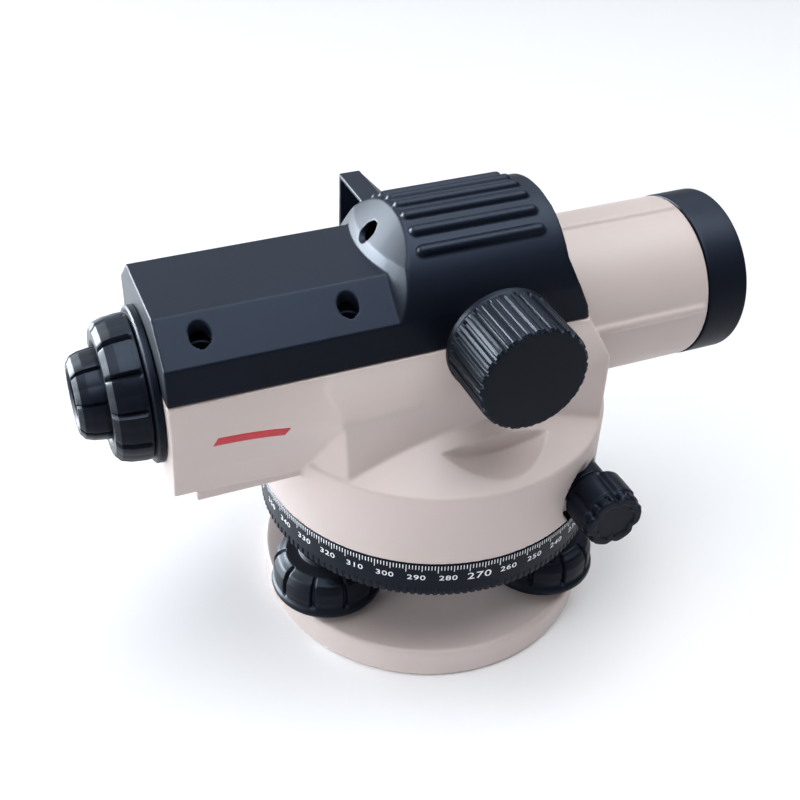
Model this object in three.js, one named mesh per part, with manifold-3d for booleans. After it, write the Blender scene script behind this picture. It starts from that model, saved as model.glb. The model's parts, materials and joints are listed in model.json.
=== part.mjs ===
// Automatic level: a surveying telescope with a self-levelling line of sight, on a three-screw base.
// Millimetres, +Z up, +X towards the objective. Everything is drawn about the vertical standing axis
// (x = 0, y = 0) with the base's underside at z = 0, and the finished group is moved along X so that
// the origin lies under the middle of the whole instrument.
import * as THREE from 'three';
import { mergeVertices } from 'three/addons/utils/BufferGeometryUtils.js';
import Module from 'manifold-3d';

const wasm = await Module();
wasm.setup();

// ---------------------------------------------------------------- driving dimensions
const GAP = 0.3;                 // clearance between neighbouring pieces
const RUN = 0.15;                // radial clearance of a running fit

// base and levelling screws
const BASE_R = 57.1;
const BASE_TOP = 11.5;
const BASE_EDGE_R = 2.5;
const TRIPOD_BORE_R = 7.94;      // 5/8 inch tripod thread
const FOOT_CIRCLE_R = 43;
const FOOT_ANGLES = [197.3, 317.3, 77.3];
const FOOT_NAMES = ['left', 'right', 'rear'];
const BALL_R = 4;
const BALL_Z = 8.5;
const CUP_R = 5.6;
const PIT_R = CUP_R + GAP;
const SPRING_PLATE_T = 1.5;
const RIVET_R = 1.5;
const NECK_R = 2.5;
const STUD_R = 3;
const STUD_TOP = 46;
const KNOB_R = 19.5;
const KNOB_BOTTOM = 15;
const KNOB_TOP = 30.5;
const BOSS_R = 7.5;
const BOSS_BOTTOM = 34;

// tribrach, horizontal circle and standing axis
const DISC_BOTTOM = 42;
const DISC_TOP = 46.2;
const CIRCLE_R = 57.3;
const CIRCLE_BOTTOM = 38.7;
const CIRCLE_TOP = 52;
const CIRCLE_BORE_R = 51.2;
const CIRCLE_LIP_R = 46.8;
const HUB_R = 17;
const HUB_TOP = 50;
const AXIS_R = 8;
const SEAT_R = 12;
const AXIS_TOP = 75.5;

// main housing
const DRUM_R = 57.4;
const DRUM_BOTTOM = 52.4;
const DRUM_RIM = 79;
const DRUM_WALL = 4;
const CEILING_Z = 76.5;          // top of the hollow inside the drum
const PLATE_R = 46.5;
const PLATE_BOTTOM = 52.6;
const PLATE_TOP = 54.8;
const PLATE_SCREW_R = 42;
const SLEEVE_R = 12.5;
const SHOULDER_SLOPE = 0.53;
const SIGHT_Z = 103.5;           // height of the telescope's axis
const SEAM_Z = 113.4;            // where the top cover meets the housing
const REAR_X = -93.1;
const FRONT_X = 40;
const NECK_CYLINDER_R = 56.5;
const NECK_HALF_X = 44.5;
const SIDE_HALF_Y = 27.5;
const FLOOR_Z = 84;
const CAVITY_HALF_Y = 24;
const TUBE_R = 27.2;
const TUBE_BORE_R = 23;
const TUBE_END = 85.1;
const EYE_BORE_R = 12;

// top cover
const CHAMFER_Z = 125.5;
const ROOF_Z = 135.7;
const ROOF_HALF_Y = 15.7;
const ARCH_R = 28;
const ARCH_Z = 120;
const DOME_FRONT = [[38.8, 118], [34.2, 128], [32, 134], [31.5, 149]];
const COVER_WALL = 2.5;
const RIB_R = 1.7;
const RIB_ANGLES = [52, 65.5, 78.5, 90.5, 102.5, 115, 128];
const COVER_SCREWS = [[-80.9, -20.7], [-37.5, -20.7], [-80.9, 20.7], [-37.5, 20.7]];
const COUNTERBORE_R = 3;
const SCREW_HEAD_R = 2.5;
const CRESCENT_X = 23;           // axis of the cone that ends the dome at the rear
const CRESCENT = [[112, -34], [126, -31], [139, -24.4], [149.8, -14]];
const SIGHT_HOLE = [2.9, 1.5, 140.2];

// telescope optics
const OBJECTIVE_END = 99.6;
const OBJECTIVE_R = 27.4;
const FLANGE_R = 24;
const EYE_RING_R = 22.8;
const EYE_RING_TAPER = 1.2;
const DIOPTER_R = 14.2;
const EYE_END = -115.4;

// focus drive
const FOCUS_X = 3.9;
const FOCUS_Z = 119.5;
const FOCUS_KNOB_R = 17.25;
const FOCUS_KNOB_FACE = -58;
const FOCUS_KNOB_BACK = -36;
const PINION_R = 3;
const RACK_Y = -15.5;
const SCOOP_R = 39;
const SCOOP_Y = -41.4;

// compensator
const FRAME_HALF_Y = 16;
const PENDULUM_HALF_Y = 12;

// tangent drive
const TANGENT_X = 35.3;
const TANGENT_Z = 61.2;
const TANGENT_FACE = 64;
const TANGENT_BACK = 48;
const TANGENT_KNOB_R = 10.6;
const POCKET_R = 11.6;
const POCKET_FLOOR = 46.5;
const POCKET_WALL = 2.5;
const BUSH_R = 7.2;
const TANGENT_SHAFT_R = 2.5;
const WORM_R = 3.1;
const SIDES = [-1, 1];
const WHEEL_R = 31.8;

// circular bubble and its mirror
const BUBBLE = [-6, 36.2];
const BUBBLE_R = 9;
const LUG_TOP = 103.2;
const LUG_BOTTOM = 97;
const HOOD_TOP = 140.6;
const HOOD_REAR_X = -17.5;
const HOOD_ROOF_X = -10.7;
const HOOD_FRONT_X = 5.5;
const HOOD_OUTER_Y = 40;
const HOOD_BOTTOM = 120;
const HOOD_T = 1.6;

// facets round a full turn
const FINE = 36;
const ROUND = 18;
const SMALL = 12;
const TINY = 8;
const TUBE = 32;

// ---------------------------------------------------------------- materials
const finish = (color, roughness, metalness = 0) => ({ color, roughness, metalness });
const CREAM = finish(0xd8cfcc, 0.45);
const BLACK = finish(0x23262e, 0.5);
const STEEL = finish(0xb4b7bb, 0.3, 1);
const BRASS = finish(0xb08d4a, 0.35, 1);
const ALUMINIUM = finish(0x8d9094, 0.45, 0.9);
const DARK_METAL = finish(0x2b2d31, 0.5, 0.6);
const GLASS = finish(0xbcd6d2, 0.05);
const VIAL = finish(0xc9dc5a, 0.1);
const MIRROR = finish(0xe6eaec, 0.03, 1);

// ---------------------------------------------------------------- solids
const radians = (degrees) => degrees * Math.PI / 180;

function bare(geometry) {
  const copy = geometry.index ? geometry.toNonIndexed() : geometry.clone();
  for (const name of Object.keys(copy.attributes)) {
    if (name !== 'position') copy.deleteAttribute(name);
  }
  return mergeVertices(copy, 1e-4);
}

// A three.js geometry as a manifold solid with its faces pointing out.
function solid(geometry) {
  const merged = bare(geometry);
  const points = merged.attributes.position.array;
  const index = Array.from(merged.index.array);
  const faces = [];
  let volume = 0;
  for (let i = 0; i < index.length; i += 3) {
    const [a, b, c] = [index[i], index[i + 1], index[i + 2]];
    if (a === b || b === c || c === a) continue;
    faces.push(a, b, c);
    const p = new THREE.Vector3().fromArray(points, 3 * a);
    const q = new THREE.Vector3().fromArray(points, 3 * b);
    const r = new THREE.Vector3().fromArray(points, 3 * c);
    volume += p.dot(q.cross(r));
  }
  if (volume < 0) faces.reverse();
  const mesh = new wasm.Mesh({
    numProp: 3,
    vertProperties: new Float32Array(points),
    triVerts: new Uint32Array(faces),
  });
  return new wasm.Manifold(mesh);
}

function toGeometry(body) {
  const mesh = body.getMesh();
  const geometry = new THREE.BufferGeometry();
  geometry.setAttribute('position', new THREE.BufferAttribute(new Float32Array(mesh.vertProperties), 3));
  geometry.setIndex(new THREE.BufferAttribute(new Uint32Array(mesh.triVerts), 1));
  return geometry;
}

const union = (...bodies) => bodies.reduce((sum, body) => sum.add(body));
const cut = (body, ...tools) => tools.reduce((rest, tool) => rest.subtract(tool), body);

const lathe = (profile, segments) =>
  new THREE.LatheGeometry(profile.map(([r, h]) => new THREE.Vector2(r, h)), segments);

// Turned solids: profiles are [radius, height along the axis], closed or ending on the axis.
const turnedZ = (profile, segments = ROUND, x = 0, y = 0) =>
  solid(lathe(profile, segments).rotateX(Math.PI / 2).translate(x, y, 0));
const turnedX = (profile, segments = ROUND, z = SIGHT_Z, y = 0) =>
  solid(lathe(profile, segments).rotateZ(-Math.PI / 2).translate(0, y, z));
const turnedY = (profile, segments, x, z) => solid(lathe(profile, segments).translate(x, 0, z));

const rod = (r, low, high) => [[0, low], [r, low], [r, high], [0, high]];
const pipe = (outer, inner, low, high) =>
  [[inner, low], [outer, low], [outer, high], [inner, high], [inner, low]];

function box(x0, x1, y0, y1, z0, z1) {
  const geometry = new THREE.BoxGeometry(x1 - x0, y1 - y0, z1 - z0);
  return solid(geometry.translate((x0 + x1) / 2, (y0 + y1) / 2, (z0 + z1) / 2));
}

const outline = (points) => new THREE.Shape(points.map(([u, v]) => new THREE.Vector2(u, v)));
const extrude = (shape, depth) => new THREE.ExtrudeGeometry(shape, { depth, bevelEnabled: false });

// Prisms: an outline in (y, z), (x, z) or (x, y), drawn out along the third axis.
function prismX(points, x0, x1) {
  const turn = new THREE.Matrix4().makeBasis(
    new THREE.Vector3(0, 1, 0), new THREE.Vector3(0, 0, 1), new THREE.Vector3(1, 0, 0));
  return solid(extrude(outline(points), x1 - x0).applyMatrix4(turn).translate(x0, 0, 0));
}

const prismY = (points, y0, y1) =>
  solid(extrude(outline(points), y1 - y0).rotateX(Math.PI / 2).translate(0, y1, 0));

const prismZ = (points, z0, z1) => solid(extrude(outline(points), z1 - z0).translate(0, 0, z0));

const span = (a, b) => [Math.min(a, b), Math.max(a, b)];
const mirrored = (half) => [...half, ...half.map(([y, z]) => [-y, z]).reverse()];

// A solid through a row of outlines in (y, z), each with the same number of points, at places along X.
function loftX(sections) {
  const count = sections[0].points.length;
  const position = sections.flatMap(({ x, points }) => points.flatMap(([y, z]) => [x, y, z]));
  const index = [];
  for (let s = 0; s + 1 < sections.length; s += 1) {
    for (let i = 0; i < count; i += 1) {
      const j = (i + 1) % count;
      const [a, b, c, d] = [s * count + i, s * count + j, (s + 1) * count + i, (s + 1) * count + j];
      index.push(a, b, c, b, d, c);
    }
  }
  const last = (sections.length - 1) * count;
  const cap = THREE.ShapeUtils.triangulateShape(
    sections[0].points.map(([y, z]) => new THREE.Vector2(y, z)), []);
  for (const [a, b, c] of cap) {
    index.push(a, c, b, last + a, last + b, last + c);
  }
  const geometry = new THREE.BufferGeometry();
  geometry.setAttribute('position', new THREE.Float32BufferAttribute(position, 3));
  geometry.setIndex(index);
  return solid(geometry);
}

// A round outline with shallow flutes: radius r, n lobes, flutes of the given depth.
function lobed(r, lobes, depth, steps = 5) {
  const points = [];
  for (let i = 0; i < lobes * steps; i += 1) {
    const phase = (i % steps) / steps;
    const dip = phase < 1 / steps ? depth : 0;
    const angle = 2 * Math.PI * i / (lobes * steps);
    points.push([(r - dip) * Math.cos(angle), (r - dip) * Math.sin(angle)]);
  }
  return points;
}

const foot = (i) => [
  FOOT_CIRCLE_R * Math.cos(radians(FOOT_ANGLES[i])),
  FOOT_CIRCLE_R * Math.sin(radians(FOOT_ANGLES[i])),
];

// ---------------------------------------------------------------- assembly
const level = new THREE.Group();

function place(name, body, look) {
  const geometry = toGeometry(body);
  const mesh = new THREE.Mesh(geometry, new THREE.MeshStandardMaterial(look));
  mesh.name = name;
  level.add(mesh);
}

// ---------------------------------------------------------------- base
function basePlate() {
  const profile = [
    [TRIPOD_BORE_R, 0], [BASE_R, 0], [BASE_R, BASE_TOP - BASE_EDGE_R],
    [BASE_R - 0.3 * BASE_EDGE_R, BASE_TOP - 0.3 * BASE_EDGE_R], [BASE_R - BASE_EDGE_R, BASE_TOP],
    [TRIPOD_BORE_R, BASE_TOP], [TRIPOD_BORE_R, 0],
  ];
  const pits = FOOT_NAMES.map((_, i) =>
    turnedZ(rod(PIT_R, BALL_Z - PIT_R, BASE_TOP + 1), SMALL, ...foot(i)));
  const rivets = FOOT_NAMES.map((_, i) => turnedZ(rod(RIVET_R, 8, BASE_TOP + 3), TINY, ...rivetAt(i)));
  return union(cut(turnedZ(profile, FINE), ...pits), ...rivets);
}

// The rivets that hold the spring plate stand between the feet.
function rivetAt(i) {
  const angle = radians(FOOT_ANGLES[i] + 60);
  return [16 * Math.cos(angle), 16 * Math.sin(angle)];
}

// The round cup that each levelling screw's ball swivels in.
function ballCup(i) {
  const arc = (r, from, to) => [0, 1, 2, 3, 4].map((step) => {
    const angle = radians(from + (to - from) * step / 4);
    return [r * Math.cos(angle), BALL_Z + r * Math.sin(angle)];
  });
  const profile = [...arc(CUP_R, -90, 5), ...arc(BALL_R + GAP, 5, -90)];
  profile[0][0] = 0;
  profile[profile.length - 1][0] = 0;
  return turnedZ(profile, SMALL, ...foot(i));
}

function springPlate() {
  const low = BASE_TOP + GAP;
  const high = low + SPRING_PLATE_T;
  const hub = turnedZ(rod(20, low, high), ROUND);
  const arms = FOOT_NAMES.map((_, i) => {
    const [x, y] = foot(i);
    const arm = box(0, FOOT_CIRCLE_R, -7, 7, low, high).rotate([0, 0, FOOT_ANGLES[i]]);
    return union(arm, turnedZ(rod(8, low, high), SMALL, x, y));
  });
  const holes = FOOT_NAMES.map((_, i) =>
    turnedZ(rod(NECK_R + 1.2, low - 1, high + 1), SMALL, ...foot(i)));
  const rivetHoles = FOOT_NAMES.map((_, i) =>
    turnedZ(rod(RIVET_R + GAP, low - 1, high + 1), TINY, ...rivetAt(i)));
  const centre = turnedZ(rod(TRIPOD_BORE_R + 1, low - 1, high + 1), ROUND);
  return cut(union(hub, ...arms), ...holes, ...rivetHoles, centre);
}

// ---------------------------------------------------------------- levelling screws
function levellingStud(i) {
  const ball = [];
  for (let angle = -90; angle <= 50; angle += 28) {
    ball.push([BALL_R * Math.cos(radians(angle)), BALL_Z + BALL_R * Math.sin(radians(angle))]);
  }
  ball[0][0] = 0;
  const profile = [
    ...ball, [NECK_R, BALL_Z + 3.6], [NECK_R, KNOB_BOTTOM - 1], [STUD_R, KNOB_BOTTOM],
    [STUD_R, STUD_TOP - 0.6], [STUD_R - 0.6, STUD_TOP], [0, STUD_TOP],
  ];
  return turnedZ(profile, SMALL, ...foot(i));
}

function levellingKnob(i) {
  const [x, y] = foot(i);
  const grip = prismZ(lobed(KNOB_R - 1, 10, 1.2), KNOB_BOTTOM + 2.5, KNOB_TOP - 3).translate([x, y, 0]);
  const flange = turnedZ(rod(KNOB_R, KNOB_BOTTOM, KNOB_BOTTOM + 2.5), ROUND, x, y);
  const crown = turnedZ(
    [[0, KNOB_TOP - 3], [KNOB_R - 2.2, KNOB_TOP - 3], [KNOB_R - 5, KNOB_TOP - 0.8],
      [KNOB_R - 9, KNOB_TOP], [0, KNOB_TOP]], ROUND, x, y);
  const bore = turnedZ(rod(STUD_R + GAP, KNOB_BOTTOM - 1, KNOB_TOP + 1), SMALL, x, y);
  return cut(union(grip, flange, crown), bore);
}

// ---------------------------------------------------------------- tribrach and circle
function tribrach() {
  const disc = turnedZ(rod(CIRCLE_BORE_R - GAP, DISC_BOTTOM, DISC_TOP), FINE);
  const hub = turnedZ(rod(HUB_R, DISC_BOTTOM - 3, HUB_TOP), ROUND);
  const bosses = FOOT_NAMES.map((_, i) => turnedZ(rod(BOSS_R, BOSS_BOTTOM, DISC_TOP), SMALL, ...foot(i)));
  const bores = FOOT_NAMES.map((_, i) =>
    turnedZ(rod(STUD_R + GAP, BOSS_BOTTOM - 1, DISC_TOP + 1), SMALL, ...foot(i)));
  const centre = turnedZ(rod(AXIS_R + GAP, DISC_BOTTOM - 4, HUB_TOP + 1), ROUND);
  return cut(union(disc, hub, ...bosses), ...bores, centre);
}

function horizontalCircle() {
  const profile = [
    [CIRCLE_BORE_R, CIRCLE_BOTTOM], [CIRCLE_R - 0.4, CIRCLE_BOTTOM], [CIRCLE_R, CIRCLE_BOTTOM + 0.5],
    [CIRCLE_R, CIRCLE_TOP - 0.3], [CIRCLE_R - 0.3, CIRCLE_TOP], [CIRCLE_R - 3.5, CIRCLE_TOP],
    [CIRCLE_R - 3.5, DISC_TOP + 3], [CIRCLE_LIP_R, DISC_TOP + 3], [CIRCLE_LIP_R, DISC_TOP + GAP],
    [CIRCLE_BORE_R, DISC_TOP + GAP], [CIRCLE_BORE_R, CIRCLE_BOTTOM],
  ];
  return turnedZ(profile, FINE);
}

function spindle() {
  const flange = HUB_TOP + GAP;
  const profile = [
    [0, DISC_BOTTOM - 8], [AXIS_R, DISC_BOTTOM - 8], [AXIS_R, flange], [HUB_R - 1, flange],
    [HUB_R - 1, flange + 2.5], [SEAT_R, flange + 2.5], [SEAT_R, 65], [AXIS_R, 65],
    [AXIS_R, AXIS_TOP], [0, AXIS_TOP],
  ];
  return turnedZ(profile, ROUND);
}

function spindleNut() {
  const nut = prismZ(lobed(13, 6, 0, 1), DISC_BOTTOM - 3 - GAP - 4, DISC_BOTTOM - 3 - GAP);
  return cut(nut, turnedZ(rod(AXIS_R + GAP, 0, 60), ROUND));
}

function wormWheel() {
  return turnedZ(pipe(WHEEL_R, SEAT_R + RUN, TANGENT_Z - 2.3, TANGENT_Z + 2.3), TUBE);
}

// ---------------------------------------------------------------- main housing
// The body's outline in (y, z): a seam edge, the shoulder under it, and the side down to the sill.
function bodySection(shoulder, middle, sill, bottom) {
  const bulge = shoulder - SIDE_HALF_Y;
  return mirrored([
    [sill, bottom], [middle, 88], [shoulder, 99], [SIDE_HALF_Y + 0.86 * bulge, 104],
    [SIDE_HALF_Y + 0.52 * bulge, 108.5], [SIDE_HALF_Y, SEAM_Z - 0.2],
  ]);
}

function housingShell() {
  const shoulderTop = DRUM_RIM + SHOULDER_SLOPE * (DRUM_R - 20);
  const drum = turnedZ([
    [0, DRUM_BOTTOM], [DRUM_R, DRUM_BOTTOM], [DRUM_R, DRUM_RIM - 0.8], [DRUM_R - 0.8, DRUM_RIM],
    [20, shoulderTop], [0, shoulderTop]], FINE);
  const rear = loftX([
    { x: REAR_X, points: bodySection(SIDE_HALF_Y - 0.2, 26.2, 24.5, 78.5) },
    { x: -70, points: bodySection(SIDE_HALF_Y + 0.6, 26.4, 24.2, 78) },
    { x: -56, points: bodySection(30.5, 27.4, 23.6, 77) },
    { x: -NECK_HALF_X, points: bodySection(35.6, 30.5, 23, 76) },
    { x: -20, points: bodySection(35.6, 34, 30, 76) },
  ]);
  const centre = loftX([
    { x: -NECK_CYLINDER_R, points: bodySection(35.6, 36.4, 36.9, 60) },
    { x: NECK_CYLINDER_R, points: bodySection(35.6, 36.4, 36.9, 60) },
  ]);
  const round = turnedZ(rod(NECK_CYLINDER_R, 56, 120), FINE);
  const side = prismY([
    [-NECK_CYLINDER_R, 56], [50, 56], [50, 90], [47.5, 95], [FRONT_X, SEAM_Z], [-NECK_HALF_X, SEAM_Z],
    [-NECK_CYLINDER_R, SEAM_Z - 14]], -60, 60);
  const tube = turnedX(rod(TUBE_R, 20, TUBE_END), TUBE);
  const ledge = box(-86, -50, -22.8, 22.8, 73.2, 80);
  const lug = turnedZ(rod(BUBBLE_R + 1, LUG_BOTTOM, LUG_TOP), SMALL, ...BUBBLE);
  return union(drum, rear, centre.intersect(round).intersect(side), tube, ledge, lug);
}

function tubeRibs() {
  const ribs = [7.5, 86, 172.5].map((angle) => {
    const rib = new THREE.CapsuleGeometry(1.6, 42, 2, 8).rotateZ(Math.PI / 2);
    const y = -(TUBE_R - 0.4) * Math.cos(radians(angle));
    const z = SIGHT_Z + (TUBE_R - 0.4) * Math.sin(radians(angle));
    return solid(rib.translate(61.5, y, z));
  });
  return union(...ribs);
}

function focusBoss(r, y0, y1) {
  return union(
    turnedY(rod(r, y0, y1), ROUND, FOCUS_X, FOCUS_Z),
    box(FOCUS_X - r, FOCUS_X + r, y0, y1, 105, FOCUS_Z));
}

// The room taken by the top cover, above the seam and back from the dome's front.
function coverRoom() {
  const low = SEAM_Z - 0.2;
  const front = DOME_FRONT.map(([x, z]) => [x + GAP, z]);
  return prismY([[REAR_X - 1, low], [FRONT_X + GAP, low], ...front, [REAR_X - 1, 150]], -60, 60);
}

// A round along Y at one side's tangent knob, from one depth out to another.
const tangentRod = (r, side, inner, outer) =>
  turnedY(rod(r, ...span(side * inner, side * outer)), ROUND, TANGENT_X, TANGENT_Z);

function mainHousing() {
  const bored = cut(
    union(housingShell(), tubeRibs()),
    coverRoom(),
    turnedZ(rod(DRUM_R - DRUM_WALL, DRUM_BOTTOM - 1, CEILING_Z), FINE),
    box(-80, 38, -CAVITY_HALF_Y, CAVITY_HALF_Y, FLOOR_Z, SEAM_Z + 1),
    turnedX(rod(TUBE_BORE_R, 30, TUBE_END + 1), TUBE),
    turnedX(rod(EYE_BORE_R, REAR_X - 1, -79), ROUND),
    turnedY(rod(SCOOP_R, -80, SCOOP_Y), FINE, FOCUS_X, FOCUS_Z + 0.3),
    turnedZ(rod(BUBBLE_R + 0.6, LUG_TOP, SEAM_Z + 1), SMALL, ...BUBBLE));
  const inDrum = turnedZ(rod(DRUM_R - 1, DRUM_BOTTOM, CEILING_Z + 1.5), FINE);
  const pocketWalls = SIDES.map((side) =>
    tangentRod(POCKET_R + POCKET_WALL, side, POCKET_FLOOR - 3, 60).intersect(inDrum));
  const pockets = SIDES.map((side) => tangentRod(POCKET_R, side, POCKET_FLOOR, 80));
  const platePosts = [0, 1, 2].map((i) =>
    turnedZ(rod(3.5, PLATE_TOP + GAP, CEILING_Z + 1.5), SMALL, ...plateScrewAt(i)));
  const posts = COVER_SCREWS.map(([x, y]) =>
    turnedZ(rod(4.2, FLOOR_Z - 1, SEAM_Z - 0.2), SMALL, x, y));
  const hub = turnedZ(rod(20, 68, 80), ROUND);
  const whole = union(bored, ...posts, ...platePosts, ...pocketWalls, hub, focusBoss(8, -31, -22));
  const taps = COVER_SCREWS.map(([x, y]) => turnedZ(rod(1.8, 98, SEAM_Z + 1), TINY, x, y));
  const bubbleTaps = [0, 1, 2].map((i) =>
    turnedZ(rod(1.5, 94, LUG_TOP + 1), TINY, ...bubbleScrewAt(i)));
  const plateTaps = [0, 1, 2].map((i) => turnedZ(rod(1.8, DRUM_BOTTOM, 75), TINY, ...plateScrewAt(i)));
  return cut(
    whole, ...taps, ...bubbleTaps, ...plateTaps, ...pockets,
    turnedZ(rod(SLEEVE_R + GAP, 66, 78), ROUND),
    turnedY(rod(6, -40, -20), ROUND, FOCUS_X, FOCUS_Z),
    turnedY(rod(BUSH_R + GAP, -60, 60), ROUND, TANGENT_X, TANGENT_Z));
}

const bubbleScrewAt = (i) => [
  BUBBLE[0] + 7 * Math.cos(radians(30 + 60 * i)),
  BUBBLE[1] + 7 * Math.sin(radians(30 + 60 * i)),
];

const plateScrewAt = (i) => [
  PLATE_SCREW_R * Math.cos(radians(180 + 120 * i)),
  PLATE_SCREW_R * Math.sin(radians(180 + 120 * i)),
];

function drumPlate() {
  const plate = turnedZ(pipe(PLATE_R, HUB_R + 1, PLATE_BOTTOM, PLATE_TOP), FINE);
  const holes = [0, 1, 2].map((i) => turnedZ(rod(1.9, 50, 56), TINY, ...plateScrewAt(i)));
  return cut(plate, ...holes);
}

const bearingSleeve = () => turnedZ(pipe(SLEEVE_R, AXIS_R + RUN, 66.3, 76.2), ROUND);

// ---------------------------------------------------------------- top cover
function archSection(r, side, low) {
  const points = [[side, low], [side, ARCH_Z + 4]];
  for (let angle = 15; angle < 90; angle += 12.5) {
    points.push([r * Math.cos(radians(angle)), ARCH_Z + r * Math.sin(radians(angle))]);
  }
  return mirrored(points);
}

const roofSection = (side, inset, low) => mirrored([
  [side, low], [side - inset * 0.4, CHAMFER_Z - inset * 0.6], [ROOF_HALF_Y - inset * 0.5, ROOF_Z - inset]]);

function domeSide(inset) {
  const front = prismY([
    [-50, SEAM_Z - 1], [-50, 149], ...DOME_FRONT.map(([x, z]) => [x - inset, z]).reverse(),
    [FRONT_X - inset, SEAM_Z - 1]], -50, 50);
  const cone = CRESCENT.map(([z, x]) => [CRESCENT_X - x - inset, z]);
  return front.intersect(turnedZ([[0, 112], ...cone, [0, 149.8]], FINE, CRESCENT_X));
}

function mirrorHood() {
  const roof = box(HOOD_REAR_X, HOOD_ROOF_X + 0.4, 18, HOOD_OUTER_Y, HOOD_TOP - HOOD_T, HOOD_TOP);
  const drop = HOOD_TOP - HOOD_BOTTOM - 3;
  const slope = prismY([
    [HOOD_ROOF_X, HOOD_TOP], [HOOD_FRONT_X, HOOD_TOP - drop], [HOOD_FRONT_X - 2.3, HOOD_TOP - drop],
    [HOOD_ROOF_X - 2.3, HOOD_TOP]], 18, HOOD_OUTER_Y);
  const wall = prismY([
    [HOOD_REAR_X, HOOD_TOP], [HOOD_ROOF_X, HOOD_TOP], [HOOD_FRONT_X, HOOD_TOP - drop],
    [HOOD_FRONT_X, HOOD_BOTTOM], [HOOD_REAR_X, HOOD_BOTTOM]], HOOD_OUTER_Y - HOOD_T, HOOD_OUTER_Y);
  return union(roof, slope, wall);
}

function coverRib(angle) {
  const rib = new THREE.CapsuleGeometry(RIB_R, 38, 2, 7).rotateZ(Math.PI / 2);
  const y = -ARCH_R * Math.cos(radians(angle));
  const z = ARCH_Z + ARCH_R * Math.sin(radians(angle));
  return solid(rib.translate(5.5, y, z));
}

function topCover() {
  const roof = prismX(roofSection(SIDE_HALF_Y, 0, SEAM_Z), REAR_X, 0);
  const dome = prismX(archSection(ARCH_R, SIDE_HALF_Y, SEAM_Z), -40, 50).intersect(domeSide(0));
  const outer = union(roof, dome, mirrorHood(), ...RIB_ANGLES.map(coverRib));
  const inside = SIDE_HALF_Y - COVER_WALL;
  const hollow = union(
    prismX(roofSection(inside, COVER_WALL, SEAM_Z - 1), REAR_X + COVER_WALL, 0),
    prismX(archSection(ARCH_R - COVER_WALL, inside, SEAM_Z - 1), -40, 50).intersect(domeSide(COVER_WALL)));
  const posts = COVER_SCREWS.map(([x, y]) => turnedZ(rod(5.4, SEAM_Z, 127), SMALL, x, y));
  const within = prismX(roofSection(SIDE_HALF_Y, 0, SEAM_Z), REAR_X, 0);
  const shell = union(cut(outer, hollow), ...posts.map((post) => post.intersect(within)));
  const wells = COVER_SCREWS.map(([x, y]) => turnedZ(rod(COUNTERBORE_R, 117, 145), SMALL, x, y));
  const shanks = COVER_SCREWS.map(([x, y]) => turnedZ(rod(1.9, 100, 130), TINY, x, y));
  const [holeR, holeY, holeZ] = SIGHT_HOLE;
  const sightHole = turnedX(rod(holeR, -30, -16), SMALL, holeZ, holeY);
  return cut(
    shell, ...wells, ...shanks, sightHole,
    turnedX(rod(TUBE_BORE_R, 20, 50), TUBE),
    turnedX(rod(EYE_BORE_R, REAR_X - 1, -79), ROUND),
    focusBoss(8 + GAP, -40, -20),
    turnedZ(rod(BUBBLE_R + 0.6, LUG_TOP, 122), SMALL, ...BUBBLE));
}

function coverScrew(i) {
  const seat = 117 + GAP;
  const profile = [
    [0, 101], [1.5, 101], [1.5, seat], [SCREW_HEAD_R, seat], [SCREW_HEAD_R, seat + 2],
    [SCREW_HEAD_R - 0.5, seat + 2.6], [0, seat + 2.6]];
  return turnedZ(profile, TINY, ...COVER_SCREWS[i]);
}

function mirror() {
  const drop = HOOD_TOP - HOOD_BOTTOM - 3;
  const back = [[HOOD_ROOF_X - 2.9, HOOD_TOP - HOOD_T - GAP], [HOOD_FRONT_X - 4, HOOD_TOP - drop]];
  const face = back.map(([x, z]) => [x - 1.6, z]).reverse();
  return prismY([...back, ...face], 29.5, HOOD_OUTER_Y - HOOD_T - GAP);
}

// ---------------------------------------------------------------- objective
function objectiveRing() {
  return turnedX([
    [21, 78], [TUBE_BORE_R - GAP, 78], [TUBE_BORE_R - GAP, TUBE_END + GAP], [OBJECTIVE_R, TUBE_END + GAP],
    [OBJECTIVE_R, OBJECTIVE_END - 1], [OBJECTIVE_R - 1, OBJECTIVE_END], [22.5, OBJECTIVE_END],
    [21, 96], [21, 78]], TUBE);
}

const objectiveLens = () => turnedX([
  [0, 84.5], [20.7, 86.5], [20.7, 90.5], [16, 92.3], [9, 93.4], [0, 93.8]], ROUND);

const objectiveRetainer = () => turnedX(pipe(20.7, 18.5, 91.6, 94.5), ROUND);

// ---------------------------------------------------------------- focus drive
function focusKnob() {
  const low = FOCUS_KNOB_FACE;
  const high = FOCUS_KNOB_BACK;
  const grip = turnedY([
    [0, low], [FOCUS_KNOB_R - 2, low], [FOCUS_KNOB_R - 0.4, low + 1.2], [FOCUS_KNOB_R, low + 3],
    [FOCUS_KNOB_R, high - 0.8], [FOCUS_KNOB_R - 0.8, high], [0, high]], TUBE, FOCUS_X, FOCUS_Z);
  return cut(grip, turnedY(rod(PINION_R - 0.5 + GAP, low + 6, high + 1), SMALL, FOCUS_X, FOCUS_Z));
}

const focusShaft = () => turnedY([
  [0, FOCUS_KNOB_FACE + 7], [PINION_R - 0.5, FOCUS_KNOB_FACE + 7], [PINION_R - 0.5, RACK_Y - 3],
  [PINION_R, RACK_Y - 3], [PINION_R, RACK_Y + 3], [0, RACK_Y + 3]], SMALL, FOCUS_X, FOCUS_Z);

const focusBush = () => turnedY(pipe(5.7, PINION_R - 0.5 + GAP, -34, -21), SMALL, FOCUS_X, FOCUS_Z);

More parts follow.
